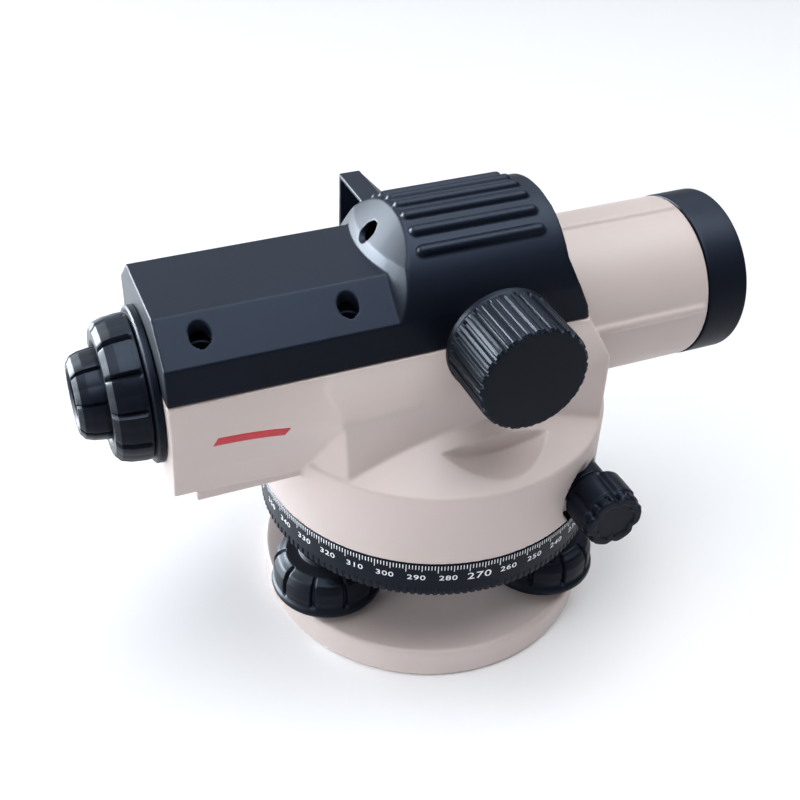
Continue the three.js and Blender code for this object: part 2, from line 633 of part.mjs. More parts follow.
function focusCarriage() {
  const slide = TUBE_BORE_R - 0.5;
  const cell = turnedX([
    [16.3, 47], [slide, 47], [slide, 49], [19, 49], [19, 61], [slide, 61], [slide, 63], [16.3, 63],
    [16.3, 47]]);
  const rackTop = FOCUS_Z - PINION_R - GAP;
  return union(cell, box(-16, 63, RACK_Y - 2, RACK_Y + 2, rackTop - 2.7, rackTop));
}

const focusingLens = () => turnedX([
  [0, 53.5], [10, 52.6], [16, 51], [16, 58], [10, 57], [0, 56.5]], ROUND);

// ---------------------------------------------------------------- compensator
function compensatorFrame() {
  const base = box(-66, -18, -FRAME_HALF_Y, FRAME_HALF_Y, FLOOR_Z + GAP, FLOOR_Z + 2.5);
  const cheeks = [-FRAME_HALF_Y, FRAME_HALF_Y - 2].map((y) => box(-62, -22, y, y + 2, FLOOR_Z + 1, 110));
  const bridge = box(-47, -37, -FRAME_HALF_Y, FRAME_HALF_Y, 108, 111);
  return union(base, ...cheeks, bridge);
}

function pendulum() {
  const arm = box(-49, -35, -PENDULUM_HALF_Y, PENDULUM_HALF_Y, 90, 92.5);
  const tabs = [-PENDULUM_HALF_Y, PENDULUM_HALF_Y - 2].map((y) => box(-49, -35, y, y + 2, 90, 97));
  const vane = box(-46, -38, -7, 4, 87.6, 91);
  return union(arm, ...tabs, vane);
}

const suspensionWire = (side) =>
  turnedZ(rod(0.3, 97 + GAP, 108 - GAP), 6, -42, side * (PENDULUM_HALF_Y - 1));

// The two fixed prisms bend the line of sight down to the swinging one and back up again.
const fixedPrism = (low, high, apex) => prismY(
  [[low, SIGHT_Z - 6], [high, SIGHT_Z - 6], [apex, SIGHT_Z + 6]],
  2.3 - FRAME_HALF_Y, FRAME_HALF_Y - 2.3);

const swingingPrism = () => prismY(
  [[-48, 92.5 + GAP], [-36, 92.5 + GAP], [-39, 97], [-45, 97]],
  2.3 - PENDULUM_HALF_Y, PENDULUM_HALF_Y - 2.3);

const dampingMagnet = () => box(-46, -38, 5, 12, FLOOR_Z + 2.5 + GAP, 89.5);

// ---------------------------------------------------------------- reticle and eyepiece
const reticleCell = () => turnedX(pipe(EYE_BORE_R - GAP, 6, -87, -82), ROUND);
const reticleGlass = () => turnedX(rod(5.7, -85.5, -83.5), SMALL);

const eyepieceFlange = () => turnedX([
  [EYE_BORE_R, -96], [FLANGE_R - 0.8, -96], [FLANGE_R, -95.2], [FLANGE_R, REAR_X - GAP],
  [EYE_BORE_R, REAR_X - GAP], [EYE_BORE_R, -96]], TUBE);

const eyepieceBody = () => turnedX(pipe(EYE_BORE_R - GAP, 9.2, -106.5, -88), ROUND);

function eyepieceCover() {
  const front = EYE_RING_R - EYE_RING_TAPER;
  const grip = prismX(lobed(EYE_RING_R - 0.3, 12, 1), -101, -96 - GAP).translate([0, 0, SIGHT_Z]);
  const nose = turnedX([
    [0, -107], [front - 2.2, -107], [front - 0.5, -105.2], [EYE_RING_R - 0.8, -100.5],
    [0, -100.5]], TUBE);
  const bore = turnedX(rod(EYE_BORE_R, -110, -90), ROUND);
  const recess = turnedX(rod(DIOPTER_R + 0.8, -110, -103.8), ROUND);
  return cut(union(grip, nose), bore, recess);
}

const eyepieceBarrel = () => turnedX(pipe(8.9, 7.3, -112.5, -94), SMALL);
const eyeLens = () => turnedX([[0, -112], [7, -111], [7, -108], [0, -107]], SMALL);
const fieldLens = () => turnedX([[0, -99], [7, -98.5], [7, -96.5], [0, -95.5]], SMALL);

function diopterRing() {
  const grip = prismX(lobed(DIOPTER_R - 0.1, 8, 0.9), EYE_END + 1.6, -106).translate([0, 0, SIGHT_Z]);
  const lip = turnedX([
    [0, EYE_END], [DIOPTER_R - 1.8, EYE_END], [DIOPTER_R - 0.7, EYE_END + 2], [0, EYE_END + 2]], ROUND);
  const window = turnedX(rod(6.6, -120, -105), SMALL);
  const barrelRoom = turnedX(rod(9.3, -112.9, -105), SMALL);
  const bodyRoom = turnedX(rod(12.1, -109, -105), ROUND);
  return cut(union(grip, lip), window, barrelRoom, bodyRoom);
}

// ---------------------------------------------------------------- circular bubble
function bubbleCase() {
  const wall = turnedZ(pipe(BUBBLE_R, 7.4, LUG_TOP + GAP, 112.4), ROUND, ...BUBBLE);
  return union(wall, turnedZ(rod(BUBBLE_R, LUG_TOP + GAP, 105.5), ROUND, ...BUBBLE));
}

const bubbleVial = () => turnedZ(
  [[0, 105.8], [7.1, 105.8], [7.1, 111.2], [5, 112.1], [0, 112.5]], ROUND, ...BUBBLE);

function bubbleScrew(i) {
  const head = LUG_BOTTOM - GAP;
  const profile = [
    [0, head - 2], [2.2, head - 2], [2.2, head], [1.2, head], [1.2, LUG_TOP], [0, LUG_TOP]];
  return turnedZ(profile, TINY, ...bubbleScrewAt(i));
}

// ---------------------------------------------------------------- tangent drive
const tangentShaft = () => turnedY([
  [0, -TANGENT_FACE + 4], [TANGENT_SHAFT_R, -TANGENT_FACE + 4], [TANGENT_SHAFT_R, -9],
  [WORM_R, -9], [WORM_R, 9], [TANGENT_SHAFT_R, 9],
  [TANGENT_SHAFT_R, TANGENT_FACE - 4], [0, TANGENT_FACE - 4]], SMALL, TANGENT_X, TANGENT_Z);

function tangentKnob(side) {
  const grip = prismZ(lobed(TANGENT_KNOB_R - 0.2, 6, 1), TANGENT_BACK + 1.5, TANGENT_FACE - 2);
  const ends = turnedZ([
    [0, TANGENT_BACK], [TANGENT_KNOB_R - 1.8, TANGENT_BACK], [TANGENT_KNOB_R - 1.2, TANGENT_BACK + 2],
    [TANGENT_KNOB_R - 1.2, TANGENT_FACE - 2.5], [TANGENT_KNOB_R - 1.6, TANGENT_FACE - 0.3],
    [TANGENT_KNOB_R - 2.2, TANGENT_FACE], [0, TANGENT_FACE]], ROUND);
  const bore = turnedZ(rod(TANGENT_SHAFT_R + GAP, 0, TANGENT_FACE - 3), SMALL);
  return cut(union(grip, ends), bore).rotate([-90 * side, 0, 0]).translate([TANGENT_X, 0, TANGENT_Z]);
}

function tangentBush(side) {
  const profile = pipe(BUSH_R, TANGENT_SHAFT_R + GAP, ...span(36 * side, (TANGENT_BACK - GAP) * side));
  return turnedY(profile, ROUND, TANGENT_X, TANGENT_Z);
}

// ---------------------------------------------------------------- build
place('base_plate', basePlate(), CREAM);
place('spring_plate', springPlate(), STEEL);
place('tribrach', tribrach(), ALUMINIUM);
FOOT_NAMES.forEach((name, i) => {
  place(`ball_cup_${name}`, ballCup(i), BRASS);
  place(`levelling_stud_${name}`, levellingStud(i), STEEL);
  place(`levelling_knob_${name}`, levellingKnob(i), BLACK);
});
place('horizontal_circle', horizontalCircle(), BLACK);
place('spindle', spindle(), STEEL);
place('spindle_nut', spindleNut(), STEEL);
place('worm_wheel', wormWheel(), BRASS);
place('bearing_sleeve', bearingSleeve(), BRASS);
place('main_housing', mainHousing(), CREAM);
place('drum_plate', drumPlate(), ALUMINIUM);
place('top_cover', topCover(), BLACK);
COVER_SCREWS.forEach((_, i) => place(`cover_screw_${i + 1}`, coverScrew(i), DARK_METAL));
place('bubble_mirror', mirror(), MIRROR);
place('objective_ring', objectiveRing(), BLACK);
place('objective_lens', objectiveLens(), GLASS);
place('objective_retainer', objectiveRetainer(), DARK_METAL);
place('focus_knob', focusKnob(), BLACK);
place('focus_shaft', focusShaft(), STEEL);
place('focus_bush', focusBush(), BRASS);
place('focus_carriage', focusCarriage(), BRASS);
place('focusing_lens', focusingLens(), GLASS);
place('compensator_frame', compensatorFrame(), ALUMINIUM);
place('compensator_pendulum', pendulum(), ALUMINIUM);
place('suspension_wire_right', suspensionWire(-1), STEEL);
place('suspension_wire_left', suspensionWire(1), STEEL);
place('front_prism', fixedPrism(-34, -22, -22), GLASS);
place('rear_prism', fixedPrism(-62, -50, -62), GLASS);
place('swinging_prism', swingingPrism(), GLASS);
place('damping_magnet', dampingMagnet(), DARK_METAL);
place('reticle_cell', reticleCell(), BRASS);
place('reticle_glass', reticleGlass(), GLASS);
place('eyepiece_flange', eyepieceFlange(), BLACK);
place('eyepiece_body', eyepieceBody(), ALUMINIUM);
place('eyepiece_cover', eyepieceCover(), BLACK);
place('eyepiece_barrel', eyepieceBarrel(), DARK_METAL);
place('eye_lens', eyeLens(), GLASS);
place('field_lens', fieldLens(), GLASS);
place('diopter_ring', diopterRing(), BLACK);
place('bubble_case', bubbleCase(), BLACK);
place('bubble_vial', bubbleVial(), VIAL);
[0, 1, 2].forEach((i) => place(`bubble_screw_${i + 1}`, bubbleScrew(i), STEEL));
place('tangent_shaft', tangentShaft(), STEEL);
[[-1, 'right'], [1, 'left']].forEach(([side, name]) => {
  place(`tangent_knob_${name}`, tangentKnob(side), BLACK);
  place(`tangent_bush_${name}`, tangentBush(side), BLACK);
});

level.position.x = -(OBJECTIVE_END + EYE_END) / 2;

export default level;
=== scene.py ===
"""Automatic level: the looks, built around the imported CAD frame.

Shapes are drawn in millimetres about the standing axis (x = 0, y = 0), with +X towards the
objective, and deliver() moves each finished piece into the row frame, in metres.
"""

import json
import math

import bmesh
import bpy
import numpy as np
from mathutils import Matrix, Vector


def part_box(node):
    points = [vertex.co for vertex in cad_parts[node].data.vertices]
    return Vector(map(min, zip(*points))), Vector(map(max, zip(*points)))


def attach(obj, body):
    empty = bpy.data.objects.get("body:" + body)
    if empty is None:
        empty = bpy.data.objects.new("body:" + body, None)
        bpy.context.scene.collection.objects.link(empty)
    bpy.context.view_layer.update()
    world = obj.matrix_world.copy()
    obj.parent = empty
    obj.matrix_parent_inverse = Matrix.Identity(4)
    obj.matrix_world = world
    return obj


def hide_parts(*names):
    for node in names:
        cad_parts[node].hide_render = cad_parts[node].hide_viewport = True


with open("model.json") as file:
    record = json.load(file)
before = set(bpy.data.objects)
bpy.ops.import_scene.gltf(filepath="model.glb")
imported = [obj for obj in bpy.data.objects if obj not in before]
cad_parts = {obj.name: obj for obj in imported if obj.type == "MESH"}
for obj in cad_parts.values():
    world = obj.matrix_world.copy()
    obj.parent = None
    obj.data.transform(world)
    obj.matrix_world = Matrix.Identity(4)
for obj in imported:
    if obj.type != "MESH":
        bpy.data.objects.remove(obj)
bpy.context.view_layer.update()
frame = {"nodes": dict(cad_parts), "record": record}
MM = 0.001
TAU = 2 * math.pi


def middle(node):
    """The middle of a CAD node's box, in metres in the row frame."""
    low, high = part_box(node)
    return (low + high) / 2


AXIS_X = middle("horizontal_circle").x


def local(node):
    """A CAD node's lowest and highest corners in millimetres about the standing axis."""
    low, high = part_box(node)
    shift = Vector((AXIS_X, 0, 0))
    return (low - shift) / MM, (high - shift) / MM


def across(node):
    """Where an upright CAD node's axis stands, in millimetres about the standing axis."""
    centre = middle(node)
    return ((centre.x - AXIS_X) / MM, centre.y / MM)


# ---------------------------------------------------------------- driving dimensions, millimetres
FEET = ("left", "right", "rear")
GAP = 0.3
BASE_R = local("base_plate")[1].y
BASE_TOP = 11.5
TRIPOD_BORE_R = 8
EDGE_R = 2.6
KNOB_LOBES = 10
KNOB_BORE_R = 3.3
THREAD_R, THREAD_ROOT_R, THREAD_PITCH = 3.0, 2.72, 1.0
BALL_SEAT_R, BALL_R = 4.0, 3.88
STUD_NECK_R = 2.35
AXIS_BORE_R, HUB_R = 8.4, 17
DISC_BOTTOM, DISC_TOP = 42, 46.2
BOSS_R, BOSS_TOP = 7.5, 46

CIRCLE_LOW, CIRCLE_HIGH = local("horizontal_circle")
CIRCLE_R = CIRCLE_HIGH.y
CIRCLE_FACE_R = CIRCLE_R - 0.05
CIRCLE_BORE_R, CIRCLE_LIP_R = 51.2, 46.8
CIRCLE_SLOTS = 150
MARK_PROUD = 0.04
TICK_HALF_WIDTH = 0.13
TICK_LENGTHS = {10: 2.9, 5: 2.4, 1: 1.7}
FIGURE_SIZE, QUARTER_SIZE = 2.85, 3.9
FIGURE_DROP = 5.3
FIGURE_STRETCH = 1.3
FIGURE_START = 173.3             # degrees from +X where the figure 0 stands
FIGURE_TURN = -1                 # they grow clockwise seen from above, with 270 at the front

HOUSING_LOW, HOUSING_HIGH = local("main_housing")
DRUM_R = HOUSING_HIGH.y
DRUM_BOTTOM = HOUSING_LOW.z
DRUM_RIM = 79
DRUM_WALL = 4
CEILING_Z = 76.5
SHOULDER_SLOPE = 0.53
SHOULDER_INNER_R = 20
REAR_X = HOUSING_LOW.x
TUBE_END = HOUSING_HIGH.x
SIGHT_Z = 103.5
SEAM_Z = 113.4
SIDE_Y = 27.5
FRONT_X = 40
NECK_R = 56.5
TUBE_R = 27.2
TUBE_BORE_R = 23
EYE_BORE_R = 12
LEDGE = ((-86, -50), (-22.8, 22.8), (73.2, 80))
STRIPE_X, STRIPE_Z, STRIPE_SLANT = (-81, -60), (96.6, 99.4), 1.6
STRIPE_HALF_THICKNESS = 0.06
CASTING_VOXEL, COVER_VOXEL = 0.55, 0.4

FOCUS_X, FOCUS_Z = 3.9, 119.5
FOCUS_RIBS = 24
SCOOP_R, SCOOP_Y = 39, -41.4
TANGENT_X, TANGENT_Z = 35.3, 61.2
POCKET_R, POCKET_FLOOR = 11.6, 46.5
BUBBLE_X, BUBBLE_Y, BUBBLE_R = -6, 36.2, 9
LUG_LOW, LUG_TOP = 97, 103.2

ROOF_Z, ROOF_Y, CHAMFER_Z = 135.7, 15.7, 125.5
ARCH_R, ARCH_Z = 28, 120
COVER_WALL = 2.5
COVER_SCREWS = [(x, y) for x in (-80.9, -37.5) for y in (-20.7, 20.7)]
HOOD_REAR_X, HOOD_ROOF_X, HOOD_FRONT_X = -17.5, -10.7, 5.5
HOOD_Y, HOOD_TOP, HOOD_BOTTOM, HOOD_T = 40, 140.6, 120, 1.6
CRESCENT_X = 23
CRESCENT = [(112, -34), (126, -31), (139, -24.4), (149.8, -14)]
WELL_R, SCREW_HEAD_R = 3.0, 2.5
SIGHT_HOLE_R = 2.9
LENS_R = 20.7

CAMERA_PLACE = (-0.13116, -0.28023, 0.31110)     # metres
CAMERA_TURN, CAMERA_TILT, CAMERA_ROLL = 21.15, 35.93, 0.5     # degrees
CAMERA_LENS, CAMERA_SHIFT = 52.48, (0.0705, -0.0404)
FLOOR_HALF, BACKDROP_R = 2.6, 2.5     # metres


# ---------------------------------------------------------------- camera, light and floor
def look():
    """The camera at the photograph's angle: a slight roll, and the frame's centre shifted."""
    turn, tilt, roll = (math.radians(a) for a in (CAMERA_TURN, CAMERA_TILT, CAMERA_ROLL))
    forward = Vector((
        math.sin(turn) * math.cos(tilt), math.cos(turn) * math.cos(tilt), -math.sin(tilt)))
    level = Vector((math.cos(turn), -math.sin(turn), 0))
    upright = level.cross(forward)
    right = math.cos(roll) * level + math.sin(roll) * upright
    up = math.cos(roll) * upright - math.sin(roll) * level
    camera = bpy.data.objects.new("camera", bpy.data.cameras.new("camera"))
    bpy.context.scene.collection.objects.link(camera)
    rotation = Matrix((right, up, -forward)).transposed().to_4x4()
    camera.matrix_world = Matrix.Translation(CAMERA_PLACE) @ rotation
    camera.data.lens = CAMERA_LENS
    camera.data.sensor_width = 36
    camera.data.shift_x, camera.data.shift_y = CAMERA_SHIFT
    camera.data.clip_start = 0.01
    bpy.context.scene.camera = camera


def area_light(name, place, target, size, power, colour=(1, 1, 1), gloss_only=False):
    """A rectangular softbox. One that is for gloss only lights no matt surface."""
    data = bpy.data.lights.new(name, "AREA")
    data.shape = "RECTANGLE"
    data.size, data.size_y = size
    data.energy = power
    data.color = colour
    light = bpy.data.objects.new(name, data)
    light.visible_diffuse = not gloss_only
    bpy.context.scene.collection.objects.link(light)
    aim = (Vector(target) - Vector(place)).to_track_quat("-Z", "Y")
    light.matrix_world = Matrix.Translation(place) @ aim.to_matrix().to_4x4()


def studio():
    """Softboxes round the instrument, the paper floor and the white backdrop, in metres."""
    world = bpy.data.worlds.new("studio")
    world.use_nodes = True
    world.node_tree.nodes["Background"].inputs["Color"].default_value = (0.93, 0.95, 1.0, 1)
    world.node_tree.nodes["Background"].inputs["Strength"].default_value = 0.18
    bpy.context.scene.world = world
    bpy.context.scene.view_settings.view_transform = "Standard"
    centre = (0, 0, 0.09)
    area_light("overhead_softbox", (0.0, -0.05, 1.2), centre, (1.3, 1.0), 9)
    area_light("overhead_gleam", (0.1, -0.1, 1.2), centre, (1.5, 1.2), 75, (0.8, 0.9, 1), True)
    area_light("rear_softbox", (0.45, 1.05, 0.95), centre, (1.2, 0.8), 7, (0.75, 0.87, 1), True)
    area_light("right_softbox", (0.9, 0.15, 1.1), centre, (1.0, 1.0), 5)
    area_light("backdrop_glow", (-1.15, 0.95, 0.33), centre, (1.4, 0.6), 9, (0.86, 0.93, 1))
    area_light("backdrop_gleam", (-1.15, 0.95, 0.33), centre, (1.4, 0.6), 470, (0.84, 0.92, 1), True)
    area_light("left_softbox", (-1.2, -0.3, 0.6), centre, (0.8, 0.8), 6, (0.97, 0.98, 1))
    mesh = bpy.data.meshes.new("floor")
    corners = [(x * FLOOR_HALF, y * FLOOR_HALF, 0) for x, y in ((-1, -1), (1, -1), (1, 1), (-1, 1))]
    mesh.from_pydata(corners, [], [(0, 1, 2, 3)])
    floor = bpy.data.objects.new("floor", mesh)
    bpy.context.scene.collection.objects.link(floor)
    floor.data.materials.append(paper())
    outline = [(BACKDROP_R, 0), (BACKDROP_R, 3), (0, 3.2)]
    backdrop = turned("backdrop", rounded(outline, 0.8, 12), segments=96)
    backdrop.data.materials.append(plain_light())
    backdrop.data.shade_smooth()
    backdrop.visible_diffuse = False
    backdrop.visible_glossy = False
    backdrop.visible_transmission = False
    backdrop.visible_shadow = False


# ---------------------------------------------------------------- materials
def new_material(name):
    """A node material, with its nodes, its links and its shader at hand."""
    material = bpy.data.materials.new(name)
    material.use_nodes = True
    nodes = material.node_tree.nodes
    return material, nodes, material.node_tree.links, nodes["Principled BSDF"]


def textured(name, colour, spread, roughness, grain_size, grain_depth, metallic=0.0,
             specular=0.5, blotch=40.0, rough_spread=0.06, tint=(1, 1, 1)):
    """A finish whose colour drifts between two shades, with mottled roughness and fine grain."""
    material, nodes, links, shader = new_material(name)
    place = nodes.new("ShaderNodeTexCoord").outputs["Object"]
    wide = nodes.new("ShaderNodeTexNoise")
    wide.inputs["Scale"].default_value = blotch
    wide.inputs["Detail"].default_value = 4
    links.new(place, wide.inputs["Vector"])
    ramp = nodes.new("ShaderNodeValToRGB")
    ramp.color_ramp.elements[0].position = 0.3
    ramp.color_ramp.elements[1].position = 0.7
    ramp.color_ramp.elements[0].color = (*[c * (1 - spread) for c in colour], 1)
    ramp.color_ramp.elements[1].color = (*[c * (1 + spread) for c in colour], 1)
    links.new(wide.outputs["Fac"], ramp.inputs["Fac"])
    links.new(ramp.outputs["Color"], shader.inputs["Base Color"])
    fine = nodes.new("ShaderNodeTexNoise")
    fine.inputs["Scale"].default_value = 1 / (grain_size * MM)
    fine.inputs["Detail"].default_value = 3
    links.new(place, fine.inputs["Vector"])
    bump = nodes.new("ShaderNodeBump")
    bump.inputs["Strength"].default_value = 0.5
    bump.inputs["Distance"].default_value = grain_depth * MM
    links.new(fine.outputs["Fac"], bump.inputs["Height"])
    links.new(bump.outputs["Normal"], shader.inputs["Normal"])
    span = nodes.new("ShaderNodeMapRange")
    span.inputs["To Min"].default_value = roughness - rough_spread
    span.inputs["To Max"].default_value = roughness + rough_spread
    links.new(fine.outputs["Fac"], span.inputs["Value"])
    links.new(span.outputs["Result"], shader.inputs["Roughness"])
    shader.inputs["Metallic"].default_value = metallic
    shader.inputs["Specular IOR Level"].default_value = specular
    shader.inputs["Specular Tint"].default_value = (*tint, 1)
    return material


def glassy(name, colour, roughness, transmission, ior):
    """Tinted glass or liquid with a faint variation of its tint."""
    material, nodes, links, shader = new_material(name)
    place = nodes.new("ShaderNodeTexCoord").outputs["Object"]
    tint = nodes.new("ShaderNodeTexNoise")
    tint.inputs["Scale"].default_value = 60
    links.new(place, tint.inputs["Vector"])
    ramp = nodes.new("ShaderNodeValToRGB")
    ramp.color_ramp.elements[0].color = (*[c * 0.92 for c in colour], 1)
    ramp.color_ramp.elements[1].color = (*colour, 1)
    links.new(tint.outputs["Fac"], ramp.inputs["Fac"])
    links.new(ramp.outputs["Color"], shader.inputs["Base Color"])
    shader.inputs["Roughness"].default_value = roughness
    shader.inputs["Transmission Weight"].default_value = transmission
    shader.inputs["IOR"].default_value = ior
    return material


def paper():
    """Pale floor paper. Away from the object it gives off light of its own, so it stays white."""
    material = textured("pale_floor", (0.92, 0.92, 0.93), 0.01, 0.7, 4.0, 0.02, blotch=2.0)
    nodes, links = material.node_tree.nodes, material.node_tree.links
    place = nodes.new("ShaderNodeTexCoord").outputs["Object"]
    distance = nodes.new("ShaderNodeVectorMath")
    distance.operation = "LENGTH"
    links.new(place, distance.inputs[0])
    fade = nodes.new("ShaderNodeMapRange")
    fade.interpolation_type = "SMOOTHSTEP"
    fade.inputs["From Min"].default_value = 0.7
    fade.inputs["From Max"].default_value = 2.2
    fade.inputs["To Max"].default_value = 0.75
    links.new(distance.outputs["Value"], fade.inputs["Value"])
    links.new(fade.outputs["Result"], nodes["Principled BSDF"].inputs["Emission Strength"])
    nodes["Principled BSDF"].inputs["Emission Color"].default_value = (0.95, 0.96, 1, 1)
    return material


def plain_light():
    """A backdrop that looks white from every side and lights nothing."""
    material, _, _, shader = new_material("backdrop")
    shader.inputs["Base Color"].default_value = (0, 0, 0, 1)
    shader.inputs["Emission Color"].default_value = (0.93, 0.94, 0.96, 1)
    shader.inputs["Emission Strength"].default_value = 0.95
    return material


BLUISH = (0.76, 0.86, 1.0)
MATERIALS = {
    "cream_paint": textured(
        "cream_paint", (0.64, 0.55, 0.52), 0.025, 0.46, 0.9, 0.012, specular=0.12, blotch=25),
    "black_plastic": textured(
        "black_plastic", (0.0042, 0.0058, 0.0115), 0.12, 0.42, 0.5, 0.03, specular=0.09, tint=BLUISH),
    "steel": textured("steel", (0.58, 0.59, 0.61), 0.05, 0.28, 0.4, 0.01, metallic=1),
    "brass": textured("brass", (0.62, 0.42, 0.17), 0.08, 0.32, 0.4, 0.01, metallic=1),
    "aluminium": textured("aluminium", (0.5, 0.51, 0.53), 0.05, 0.4, 0.4, 0.012, metallic=1),
    "dark_metal": textured("dark_metal", (0.02, 0.021, 0.024), 0.1, 0.38, 0.4, 0.01, metallic=0.4),
    "lens_glass": glassy("lens_glass", (0.35, 0.5, 0.6), 0.02, 0.6, 1.6),
    "vial": glassy("vial", (0.62, 0.8, 0.12), 0.03, 0.5, 1.45),
    "mirror": textured("mirror", (0.88, 0.9, 0.92), 0.01, 0.05, 1.0, 0.001, metallic=1,
                       rough_spread=0.02),
}
GRIP = textured("grip_plastic", (0.0044, 0.0056, 0.0100), 0.14, 0.38, 0.6, 0.035, specular=0.10,
                tint=BLUISH)
WHITE_PAINT = textured("white_paint", (0.82, 0.84, 0.86), 0.04, 0.5, 0.3, 0.005)
RED_PAINT = textured("red_paint", (0.55, 0.02, 0.035), 0.05, 0.4, 0.5, 0.008)


# ---------------------------------------------------------------- mesh tools
def scratch(name, points, faces):
    """A new object from points and faces, with its normals made consistent."""
    mesh = bpy.data.meshes.new(name)
    mesh.from_pydata([tuple(float(c) for c in p) for p in points], [], faces)
    tidy = bmesh.new()
    tidy.from_mesh(mesh)
    bmesh.ops.recalc_face_normals(tidy, faces=tidy.faces)
    tidy.to_mesh(mesh)
    tidy.free()
    thing = bpy.data.objects.new(name, mesh)
    bpy.context.scene.collection.objects.link(thing)
    return thing


def rounded(profile, radius, steps=5):
    """A closed or open outline with each inner corner replaced by an arc of that radius."""
    closed = tuple(profile[0]) == tuple(profile[-1])
    points = [Vector(p) for p in (profile[:-1] if closed else profile)]
    count = len(points)
    result = []
    for i, corner in enumerate(points):
        ends = not closed and i in (0, count - 1)
        before, after = points[i - 1] - corner, points[(i + 1) % count] - corner
        if ends or before.length < 1e-6 or after.length < 1e-6:
            result.append(tuple(corner))
            continue
        half = before.angle(after) / 2
        reach = min(radius / math.tan(half), before.length * 0.45, after.length * 0.45)
        if half > 1.5:
            result.append(tuple(corner))
            continue
        start = corner + before.normalized() * reach
        stop = corner + after.normalized() * reach
        for k in range(steps + 1):
            t = k / steps
            result.append(tuple((1 - t) ** 2 * start + 2 * t * (1 - t) * corner + t * t * stop))
    if closed:
        result.append(result[0])
    return result


def fine_steps(profile, step):
    """The outline with long stretches split, so that flutes can change along them."""
    result = [tuple(profile[0])]
    for a, b in zip(profile, profile[1:]):
        n = max(1, math.ceil(math.dist(a, b) / step))
        result += [tuple(np.add(a, np.multiply(np.subtract(b, a), k / n))) for k in range(1, n + 1)]
    return result


def turned(name, profile, axis="Z", at=(0, 0), segments=144, flute=None):
    """A turned solid: (radius, height) pairs, and at is where the axis crosses the other plane."""
    closed = tuple(profile[0]) == tuple(profile[-1])
    outline = list(profile[:-1]) if closed else list(profile)
    angles = np.arange(segments) * TAU / segments
    points, rings = [], []
    for r, h in outline:
        if r < 1e-6:
            rings.append([len(points)])
            points.append((0, 0, h))
            continue
        radius = np.full(segments, float(r)) if flute is None else flute(angles, r, h)
        rings.append(list(range(len(points), len(points) + segments)))
        points += list(zip(radius * np.cos(angles), radius * np.sin(angles), np.full(segments, h)))
    following = rings[1:] + rings[:1] if closed else rings[1:]
    faces = []
    for lower, upper in zip(rings, following):
        if len(lower) == 1 and len(upper) == 1:
            continue
        for i in range(segments):
            j = (i + 1) % segments
            corners = [lower[i % len(lower)], lower[j % len(lower)],
                       upper[j % len(upper)], upper[i % len(upper)]]
            faces.append(tuple(dict.fromkeys(corners)))
    moved = []
    for x, y, h in points:
        if axis == "Z":
            moved.append((at[0] + x, at[1] + y, h))
        elif axis == "X":
            moved.append((h, at[0] + x, at[1] + y))
        else:
            moved.append((at[0] + x, h, at[1] + y))
    return scratch(name, moved, faces)


def rod(name, r, low, high, axis="Z", at=(0, 0), segments=96):
    """A round tool or blank, for joining, cutting or as the start of a casting."""
    return turned(name, [(0, low), (r, low), (r, high), (0, high)], axis, at, segments)


def ring(name, outer, inner, low, high, axis, at, edge):
    """A short pipe with rounded edges."""
    profile = [(inner, low), (outer, low), (outer, high), (inner, high), (inner, low)]
    return turned(name, rounded(profile, edge), axis, at)


def prism(name, outline, low, high, axis):
    """An outline in the two other axes, in X, Y, Z order, drawn out along the axis."""
    def point(u, v, w):
        return {"X": (w, u, v), "Y": (u, w, v), "Z": (u, v, w)}[axis]
    n = len(outline)
    points = [point(u, v, low) for u, v in outline] + [point(u, v, high) for u, v in outline]
    sides = [(i, (i + 1) % n, n + (i + 1) % n, n + i) for i in range(n)]
    return scratch(name, points, [tuple(range(n)), tuple(range(n, 2 * n)), *sides])


def box(name, x, y, z):
    """A block between two places along each axis."""
    return prism(name, [(x[0], y[0]), (x[1], y[0]), (x[1], y[1]), (x[0], y[1])], *z, "Z")


def loft(name, sections):
    """A solid through outlines in (y, z) at places along X."""
    n = len(sections[0][1])
    points = [(x, y, z) for x, outline in sections for y, z in outline]
    faces = [tuple(range(n)), tuple(range(n * (len(sections) - 1), n * len(sections)))]
    for s in range(len(sections) - 1):
        for i in range(n):
            j = (i + 1) % n
            faces.append((s * n + i, s * n + j, (s + 1) * n + j, (s + 1) * n + i))
    return scratch(name, points, faces)


def applied(thing):
    """Applies the object's modifiers to its mesh."""
    bpy.context.view_layer.update()
    done = thing.evaluated_get(bpy.context.evaluated_depsgraph_get())
    mesh = bpy.data.meshes.new_from_object(done)
    thing.modifiers.clear()
    thing.data = mesh
    return thing


def boolean(operation, thing, *tools):
    """Joins or cuts the thing with each tool in turn, and uses the tools up."""
    for tool in tools:
        step = thing.modifiers.new("boolean", "BOOLEAN")
        step.operation = operation
        step.solver = "MANIFOLD"
        step.object = tool
    applied(thing)
    for tool in tools:
        bpy.data.objects.remove(tool)
    return thing


def join(thing, *others):
    """Adds the others to the thing."""
    return boolean("UNION", thing, *others)


def carve(thing, *tools):
    """Cuts the tools out of the thing."""
    return boolean("DIFFERENCE", thing, *tools)


def common(thing, *others):
    """Keeps what the thing shares with each of the others."""
    return boolean("INTERSECT", thing, *others)


def cast(thing, voxel, passes):
    """Melts the sharp joins into the small fillets of a casting or moulding."""
    melt = thing.modifiers.new("melt", "REMESH")
    melt.mode = "VOXEL"
    melt.voxel_size = voxel
    melt.adaptivity = 0
    relax = thing.modifiers.new("relax", "SMOOTH")
    relax.factor = 0.5
    relax.iterations = passes
    return applied(thing)


